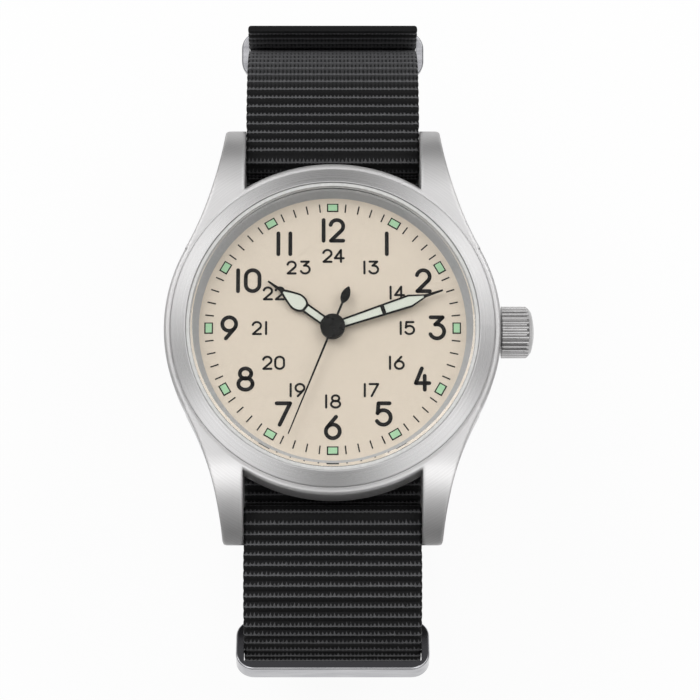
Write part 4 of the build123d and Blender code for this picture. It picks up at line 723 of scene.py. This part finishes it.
def point_on(step, share):
    """A place on a stretch of a route, in millimetres, and the direction it runs, in degrees."""
    if step[0] == "line":
        (y0, z0), (y1, z1) = step[1], step[2]
        return (y0 + (y1 - y0) * share, z0 + (z1 - z0) * share), math.degrees(math.atan2(z1 - z0, y1 - y0))
    centre, radius, start, sweep = step[1:]
    angle = start + sweep * share
    turn = math.radians(angle)
    place = (centre[0] + radius * math.cos(turn), centre[1] + radius * math.sin(turn))
    return place, angle + math.copysign(90, sweep)


def run_of(step):
    """How long a stretch of a route is, in millimetres."""
    if step[0] == "line":
        return math.dist(step[1], step[2])
    return abs(math.radians(step[4])) * step[2]


def stations(route, spacing):
    """Places along a route at even spacing: each with its direction and its distance from the start."""
    total = sum(run_of(step) for step in route)
    count = round(total / spacing)
    made, done, index = [], 0.0, 0
    for number in range(count + 1):
        distance = total * number / count
        while index < len(route) - 1 and distance > done + run_of(route[index]):
            done += run_of(route[index])
            index += 1
        share = min(1.0, (distance - done) / run_of(route[index]))
        place, heading = point_on(route[index], share)
        made.append((place, heading, distance))
    return made


def spread(y, z):
    """How far the webbing's edges spread: a little past the lugs, more where it lies under the case."""
    past = min(1.0, max(0.0, abs(y) - LUG_TIP_Y))
    under = min(1.0, max(0.0, 3 * (CASE_FOOT_Z - z))) if abs(y) < LUG_TIP_Y else 0.0
    return max(SPREAD_PAST * past, SPREAD_UNDER * under)


def webbing(name, route):
    """A band of ribbed webbing that follows a route, with a UV map in ribs and threads."""
    given = sizes()
    pitch, depth = given.rib_pitch / MM, given.rib_depth / MM
    selvage, thread = given.selvage / MM, given.thread_pitch / MM
    columns = [-WEB_HALF_WIDTH + edge for edge in EDGE_STEPS]
    flat = WEB_HALF_WIDTH - EDGE_STEPS[-1]
    columns += [-flat + 2 * flat * step / (FLAT_STEPS + 1) for step in range(1, FLAT_STEPS + 1)]
    columns += [WEB_HALF_WIDTH - edge for edge in reversed(EDGE_STEPS)]
    ring = [(x, 1) for x in columns] + [(x, -1) for x in columns[-2:0:-1]]
    points, weave, faces = [], [], []
    for (y, z), heading, distance in stations(route, pitch / STATIONS_PER_RIB):
        turn = math.radians(heading + 90)
        dip = 1 - abs(math.sin(math.pi * distance / pitch)) ** RIB_SHARPNESS
        thick = WEB_HALF_THICKNESS - depth * dip
        narrow = 1 - DIP_NARROWING * dip + spread(y, z) / WEB_HALF_WIDTH
        for x, side in ring:
            inset = WEB_HALF_WIDTH - abs(x)
            round_off = math.sqrt(max(0.0, 1 - (1 - min(1.0, inset / selvage)) ** 2))
            rise = side * thick * round_off
            place = (x * narrow, y + rise * math.cos(turn), z + rise * math.sin(turn))
            points.append(tuple(value * MM for value in place))
            weave.append((x / thread, distance / pitch))
    size = len(ring)
    rows = len(points) // size
    for row in range(rows - 1):
        for corner in range(size):
            after = (corner + 1) % size
            here, ahead = row * size, (row + 1) * size
            faces.append((here + corner, here + after, ahead + after, ahead + corner))
    faces.append(tuple(range(size - 1, -1, -1)))
    faces.append(tuple((rows - 1) * size + corner for corner in range(size)))
    piece = mesh_piece(name, points, faces)
    layer = piece.data.uv_layers.new(name="weave")
    for loop in piece.data.loops:
        layer.data[loop.index].uv = weave[loop.vertex_index]
    take(piece)
    bpy.ops.object.mode_set(mode="EDIT")
    bpy.ops.mesh.select_all(action="SELECT")
    bpy.ops.mesh.normals_make_consistent(inside=False)
    bpy.ops.object.mode_set(mode="OBJECT")
    return piece


def on_circle(centre, radius, turn):
    """A place in metres on a circle across the wrist, from its centre and radius in millimetres."""
    return (0, (centre[0] + radius * math.cos(turn)) * MM, (centre[1] + radius * math.sin(turn)) * MM)


def peg(centre, radius, angle, depth):
    """A round peg that points at a centre, for cutting a hole in a layer of webbing."""
    turn = math.radians(angle)
    place = on_circle(centre, radius, turn)
    deselect()
    bpy.ops.mesh.primitive_cylinder_add(vertices=24, radius=HOLE_RADIUS * MM, depth=depth * MM,
                                        location=place, rotation=(turn - math.pi / 2, 0, 0))
    return settle(bpy.context.object)


def block(low, high):
    """A square peg between two corners in millimetres."""
    deselect()
    bpy.ops.mesh.primitive_cube_add(size=1,
                                    location=[(start + end) / 2 * MM for start, end in zip(low, high)],
                                    scale=[(end - start) * MM for start, end in zip(low, high)])
    return settle(bpy.context.object)


def cut_holes(piece, pegs):
    """Cuts pegs out of a piece."""
    tool = join(pegs, "hole_pegs")
    apply_modifier(piece, "BOOLEAN", object=tool, operation="DIFFERENCE", solver="EXACT")
    bpy.data.objects.remove(tool)


class WATCH_OT_webbing(bpy.types.Operator):
    """Weaves the strap and its lining, with their holes, in place of the plain bands"""
    bl_idname = "watch.webbing"
    bl_label = "Webbing"

    def execute(self, context):
        yarn = woven("ribbed black nylon webbing", colours().webbing, colours().webbing_crest)
        strap = webbing("woven_strap", STRAP_ROUTE)
        pegs = [peg(FRONT_CENTRE, TAIL_PEG_RADIUS, angle, TAIL_PEG_LENGTH) for angle in TAIL_HOLE_ANGLES]
        pegs += [peg(REAR_CENTRE, REAR_RADIUS, angle, REAR_PEG_LENGTH) for angle in REAR_HOLE_ANGLES]
        pegs += [block(low, high) for low, high in TONGUE_SLOTS]
        cut_holes(strap, pegs)
        smooth(strap, 60)
        dress(strap, yarn)
        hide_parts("strap")
        lining = webbing("woven_lining", LINING_ROUTE)
        smooth(lining, 60)
        dress(lining, yarn)
        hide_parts("strap_underlayer")
        return {"FINISHED"}


def stitch_row(centre, radius, angle):
    """A row of stitches across the webbing, at an angle on a round layer."""
    count = STITCHES_PER_ROW
    made = []
    turn = math.radians(angle)
    deselect()
    bpy.ops.mesh.primitive_uv_sphere_add(segments=8, ring_count=6, radius=1)
    first = bpy.context.object
    first.scale = (sizes().stitch / 2, STITCH_HALF_WIDTH * MM, STITCH_HALF_HEIGHT * MM)
    first.rotation_euler = (turn - math.pi / 2, 0, 0)
    first.location = on_circle(centre, radius, turn)
    settle(first)
    pitch = 2 * (WEB_HALF_WIDTH - STITCH_EDGE) * MM / count
    for number in range(count):
        copy = bpy.data.objects.new("stitch", first.data.copy())
        bpy.context.scene.collection.objects.link(copy)
        copy.data.transform(Matrix.Translation(((number + 0.5 - count / 2) * pitch, 0, 0)))
        made.append(copy)
    bpy.data.objects.remove(first)
    return made


class WATCH_OT_stitching(bpy.types.Operator):
    """Sews the joints of the strap: beside the buckle bar, and where the lining comes back from its ring"""
    bl_idname = "watch.stitching"
    bl_label = "Stitching"

    def execute(self, context):
        thread = matt("bonded black thread", "#2A2A2C", "#18181A", 0.55, 0.12, 0.01)
        rows = []
        for angle in BUCKLE_SEAM_ANGLES:
            rows += stitch_row(FRONT_CENTRE, BUCKLE_SEAM_RADIUS, angle)
        for place in RING_SEAM_PLACES:
            rows += stitch_row(place, RING_SEAM_RISE, 90)
        piece = join(rows, "strap_stitching")
        smooth(piece, 60)
        dress(piece, thread)
        return {"FINISHED"}


class WATCH_OT_numbers(bpy.types.Operator):
    """Prints the hours and the afternoon hours on the dial"""
    bl_idname = "watch.numbers"
    bl_label = "Dial numbers"

    def execute(self, context):
        given = sizes()
        ink = matt("pad-printed warm black ink", colours().ink, toned(colours().ink, 1.35), 0.45, 0.1, 0.002,
                   Specular_IOR_Level=0.2)
        dial_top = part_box("dial")[1].z
        for name, places, height, pen, small in (
                ("hour_numbers", HOUR_PLACES, given.hour_height, given.hour_stroke, False),
                ("afternoon_numbers", AFTERNOON_PLACES, given.afternoon_height, given.afternoon_stroke,
                 True)):
            outlines = []
            for hour, (x, y) in places.items():
                outlines += number_strokes(str(hour), (x * MM, y * MM), height, pen, small)
            piece = printed(name, outlines, dial_top)
            dress(piece, ink)
        return {"FINISHED"}


class WATCH_OT_minute_track(bpy.types.Operator):
    """Prints the minute marks and the borders of the hour plots"""
    bl_idname = "watch.minute_track"
    bl_label = "Minute track"

    def execute(self, context):
        given = sizes()
        ink = matt("pad-printed black track ink", colours().ink, toned(colours().ink, 1.5), 0.5, 0.1, 0.002,
                   Specular_IOR_Level=0.2)
        dial_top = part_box("dial")[1].z
        inner, outer, width = given.tick_inner, given.tick_outer, given.tick_width
        marks = [radial_box(360 * number / given.minutes, inner, outer, width)
                 for number in range(given.minutes) if number % 5]
        piece = printed("minute_marks", marks, dial_top)
        dress(piece, ink)
        border, width = given.plot_border, PLOT_WIDTH * MM
        inner = (PLOT_MIDDLE - PLOT_LENGTH / 2) * MM
        outer = (PLOT_MIDDLE + PLOT_LENGTH / 2) * MM
        sides = []
        for angle in range(0, 360, 30):
            sides.append(radial_box(angle, inner - border, inner, width + 2 * border))
            sides.append(radial_box(angle, outer, outer + border, width + 2 * border))
            turn = math.radians(angle)
            for way in (-1, 1):
                shift = way * (width + border) / 2
                rail = radial_box(angle, inner, outer, border)
                sides.append([(x + shift * math.cos(turn), y - shift * math.sin(turn)) for x, y in rail])
        piece = printed("plot_borders", sides, dial_top)
        dress(piece, ink)
        return {"FINISHED"}


def finishes():
    """The finish of each CAD node that shows its own shape."""
    paints = colours()
    satin = turned("satin case steel", "#CFCECE", "#C3C2C2", 0.34, cross=0.7, edge=0.55)
    lathe = turned("turned bezel steel", "#D2D1D1", "#C4C3C3", 0.3, cross=0.6)
    flange = matt("satin grey flange paint", "#B0B2B5", "#A6A8AB", 0.42, 0.3, 0.001)
    back = turned("brushed case back steel", "#BEBDBC", "#ABAAA9", 0.34, ring=0.14, cross=0.5)
    shine = polished("polished ring steel", ("#C4C4C6", "#B2B2B5"), 0.14)
    # The head ring's faces square to the strap's run are painted dark: a painted reflection
    loop = polished("rolled strip steel", ("#C3C3C5", "#B1B1B4"), 0.12, cut=(HEAD_RING_RUN, "#4A4A4D"))
    keeper = polished("brushed keeper steel", ("#A0A0A3", "#8C8C90"), 0.24)
    knurl = blasted("machined crown steel", "#BEBDBD", "#ACABAB", 0.3, 0.1, 0.002)
    pin = polished("ground pin steel", ("#A8A8AA", "#8E8E92"), 0.2, 0.3)
    lacquer = matt("gloss black hand lacquer", paints.hands, toned(paints.hands, 1.5), 0.3, 0.3, 0.0008,
                   Specular_IOR_Level=0.2)
    hand_paint = matt("pale luminous hand paint", paints.hand_lume, toned(paints.hand_lume, 0.93),
                      0.6, 0.12, 0.006)
    plot_paint = matt("green luminous plot paint", paints.plots, toned(paints.plots, 0.9), 0.6, 0.1, 0.008)
    cream = matt("cream dial paint", paints.dial, toned(paints.dial, 0.965), 0.55, 0.35, 0.001,
                 Specular_IOR_Level=0.2)
    rubber = matt("black seal rubber", "#161617", "#202022", 0.7, 0.2, 0.004)
    nylon = matt("white nylon gasket", "#D8D8D6", "#C9C9C7", 0.35, 0.4, 0.002)
    brass = polished("rolled wheel brass", ("#C9A55A", "#B18E46"), 0.26, 0.2)
    nickel = blasted("nickel-plated brass", "#C8C2B4", "#B7B1A3", 0.3, 0.3, 0.002)
    inner = polished("hardened inner steel", ("#A9ABAF", "#8F9196"), 0.24, 0.2)
    plastic = matt("moulded white holder plastic", "#D9D7D0", "#CFCDC6", 0.45, 0.4, 0.002)
    board = matt("green circuit board laminate", "#1F5A3A", "#2B6E49", 0.4, 0.5, 0.004)
    coil = wound("enamelled copper winding")
    glass = clear_glass("mineral glass")
    return {
        "mid_case": satin, "bezel": lathe, "rehaut_ring": flange, "case_back": back, "crown": knurl,
        "crystal": glass, "dial": cream, "hour_plots": plot_paint,
        "hour_hand": lacquer, "minute_hand": lacquer, "seconds_hand": lacquer,
        "hour_hand_lume": hand_paint, "minute_hand_lume": hand_paint,
        "crystal_gasket": nylon, "case_back_gasket": rubber, "crown_gasket": rubber,
        "head_ring": loop, "loose_keeper": keeper, "fixed_keeper": shine, "buckle_frame": shine,
        "buckle_tongue": shine, "buckle_bar": pin, "spring_bar_12": pin, "spring_bar_6": pin,
        "crown_tube": inner, "winding_stem": inner, "clutch_pinion": inner, "setting_lever": inner,
        "movement_ring": plastic, "main_plate": nickel, "train_bridge": nickel, "bridge_screws": inner,
        "coin_cell": shine, "cell_clamp": inner, "circuit_board": board, "quartz_can": nickel, "coil": coil,
        "stator": inner, "rotor": inner, "intermediate_wheel": brass, "seconds_wheel": brass,
        "third_wheel": brass, "centre_wheel": brass, "cannon_pinion": brass, "minute_wheel": brass,
        "hour_wheel": brass,
    }


class WATCH_OT_finishes(bpy.types.Operator):
    """Gives every CAD node its finish"""
    bl_idname = "watch.finishes"
    bl_label = "Finishes"

    def execute(self, context):
        table = finishes()
        for name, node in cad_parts.items():
            if name in ("strap", "strap_underlayer"):
                continue
            node.data.materials.clear()
            node.data.materials.append(table[name])
        return {"FINISHED"}


def seen_directly(tree):
    """One for what the camera sees, straight or by way of metal and glass, and zero for light off paint."""
    path = add(tree, "LightPath").outputs
    mirrored = maths(tree, "MAXIMUM", path["Is Glossy Ray"], path["Is Transmission Ray"])
    seen = maths(tree, "MAXIMUM", path["Is Camera Ray"], mirrored)
    fresh = maths(tree, "LESS_THAN", path["Diffuse Depth"], 0.5)
    return maths(tree, "MULTIPLY", seen, fresh)


def paper(name, shade):
    """A plain pale surface that the camera sees as white, and that still takes the object's shadow."""
    material = blank(name)
    tree = material.node_tree
    plain = add(tree, "BsdfDiffuse", {"Color": rgba(shade)}).outputs["BSDF"]
    glow = add(tree, "Emission", {"Color": (1, 1, 1, 1), "Strength": 1.0}).outputs["Emission"]
    share = maths(tree, "MULTIPLY", seen_directly(tree), PAPER_GLOW)
    return ended(material, layered(tree, share, plain, glow))


def tent_cloth(name):
    """Light cloth that only reflections show: bright at its corners, with a black flag over the crystal."""
    material = blank(name)
    tree = material.node_tree
    ray = vector_maths(tree, "NORMALIZE", add(tree, "TexCoord").outputs["Object"])
    axes = add(tree, "SeparateXYZ", links={"Vector": ray}).outputs
    wave = maths(tree, "SINE", maths(tree, "MULTIPLY", maths(tree, "ARCTAN2", axes["Y"], axes["X"]), 2.0))
    low = maths(tree, "MULTIPLY_ADD", maths(tree, "MULTIPLY", wave, wave), TENT_CORNERS, TENT_ENDS)
    front = ranged(tree, axes["Y"], TENT_FRONT, 1.0, *FRONT_SPAN)
    foot = ranged(tree, axes["Z"], TENT_FOOT, 1.0, *FOOT_SPAN)
    wall = maths(tree, "MULTIPLY", low, maths(tree, "MULTIPLY", foot, front))
    high = ranged(tree, axes["Z"], 0.0, 1.0, *TOP_SPAN)
    glow = blended(tree, high, wall, TENT_TOP)
    flag = ranged(tree, vector_maths(tree, "DOT_PRODUCT", ray, FLAG_DIRECTION), 1.0, FLAG_GLOW, *FLAG_SPAN)
    strength = blended(tree, seen_directly(tree), SKY_LIGHT, maths(tree, "MULTIPLY", glow, flag))
    lit = add(tree, "Emission", {"Color": (1, 1, 1, 1)}, {"Strength": strength})
    return ended(material, lit.outputs["Emission"])


def lamp(name, place, size, power):
    """A square soft box that points at the watch."""
    light = bpy.data.lights.new(name, "AREA")
    light.size = size
    light.energy = power
    holder = bpy.data.objects.new(name, light)
    bpy.context.scene.collection.objects.link(holder)
    holder.visible_glossy = False
    holder.location = place
    holder.rotation_euler = (Vector((0, 0, TARGET_Z)) - Vector(place)).to_track_quat("-Z", "Y").to_euler()


class WATCH_OT_stage(bpy.types.Operator):
    """Sets up the floor, the light tent, the world, the soft boxes and the camera"""
    bl_idname = "watch.stage"
    bl_label = "Stage"

    def execute(self, context):
        scene = context.scene
        scene.view_settings.view_transform = "Standard"
        floor_z = cad_box[0][2] - FLOOR_GAP
        deselect()
        bpy.ops.mesh.primitive_circle_add(vertices=96, radius=FLOOR_RADIUS, fill_type="NGON",
                                          location=(0, 0, floor_z))
        floor = settle(bpy.context.object)
        floor.name = "floor"
        floor.data.materials.append(paper("white paper floor", "#F4F4F4"))

        deselect()
        bpy.ops.mesh.primitive_uv_sphere_add(segments=48, ring_count=24, radius=TENT_RADIUS)
        tent = bpy.context.object
        tent.name = "light_tent"
        tent.data.materials.append(tent_cloth("light tent cloth"))
        tent.visible_camera = False
        tent.visible_diffuse = False
        tent.visible_shadow = False

        world = bpy.data.worlds.new("studio")
        world.use_nodes = True
        tree = world.node_tree
        tree.nodes.clear()
        strength = ranged(tree, seen_directly(tree), SKY_LIGHT, 1.0, 0.0, 1.0)
        ground = add(tree, "Background", {"Color": (1, 1, 1, 1)}, {"Strength": strength})
        add(tree, "OutputWorld", links={"Surface": ground.outputs["Background"]})
        scene.world = world

        for box in SOFT_BOXES:
            lamp(*box)

        lens = bpy.data.cameras.new("camera")
        lens.sensor_width = SENSOR_WIDTH
        lens.lens = SENSOR_WIDTH * FOCAL_PIXELS / PICTURE_PIXELS
        lens.shift_x = (PICTURE_PIXELS / 2 - TARGET_PIXEL[0]) / PICTURE_PIXELS
        lens.shift_y = (TARGET_PIXEL[1] - PICTURE_PIXELS / 2) / PICTURE_PIXELS
        lens.clip_start = 0.01
        camera = bpy.data.objects.new("camera", lens)
        scene.collection.objects.link(camera)
        camera.location = (0, -VIEW_DISTANCE * math.sin(VIEW_TILT),
                           TARGET_Z + VIEW_DISTANCE * math.cos(VIEW_TILT))
        camera.rotation_euler = (VIEW_TILT, 0, 0)
        scene.camera = camera
        return {"FINISHED"}


class WATCH_PT_panel(bpy.types.Panel):
    """Lists the sizes, the colours and the steps that dress the watch"""
    bl_idname = "WATCH_PT_panel"
    bl_label = "Field watch"
    bl_space_type = "VIEW_3D"
    bl_region_type = "UI"
    bl_category = "Watch"

    def draw(self, context):
        for group in (context.scene.watch_sizes, context.scene.watch_colours):
            for name in group.bl_rna.properties.keys():
                if name not in ("rna_type", "name"):
                    self.layout.prop(group, name)
        for step in STEPS:
            self.layout.operator(step.bl_idname)


STEPS = (WATCH_OT_stage, WATCH_OT_webbing, WATCH_OT_stitching, WATCH_OT_numbers, WATCH_OT_minute_track,
         WATCH_OT_finishes)
CLASSES = (WatchSizes, WatchColours) + STEPS + (WATCH_PT_panel,)


def register():
    for kind in CLASSES:
        bpy.utils.register_class(kind)
    bpy.types.Scene.watch_sizes = PointerProperty(type=WatchSizes)
    bpy.types.Scene.watch_colours = PointerProperty(type=WatchColours)


def unregister():
    del bpy.types.Scene.watch_colours
    del bpy.types.Scene.watch_sizes
    for kind in reversed(CLASSES):
        bpy.utils.unregister_class(kind)


def main():
    """Dresses the watch step by step."""
    register()
    bpy.ops.watch.stage()
    bpy.ops.watch.webbing()
    bpy.ops.watch.stitching()
    bpy.ops.watch.numbers()
    bpy.ops.watch.minute_track()
    bpy.ops.watch.finishes()


if __name__ == "__main__":
    main()
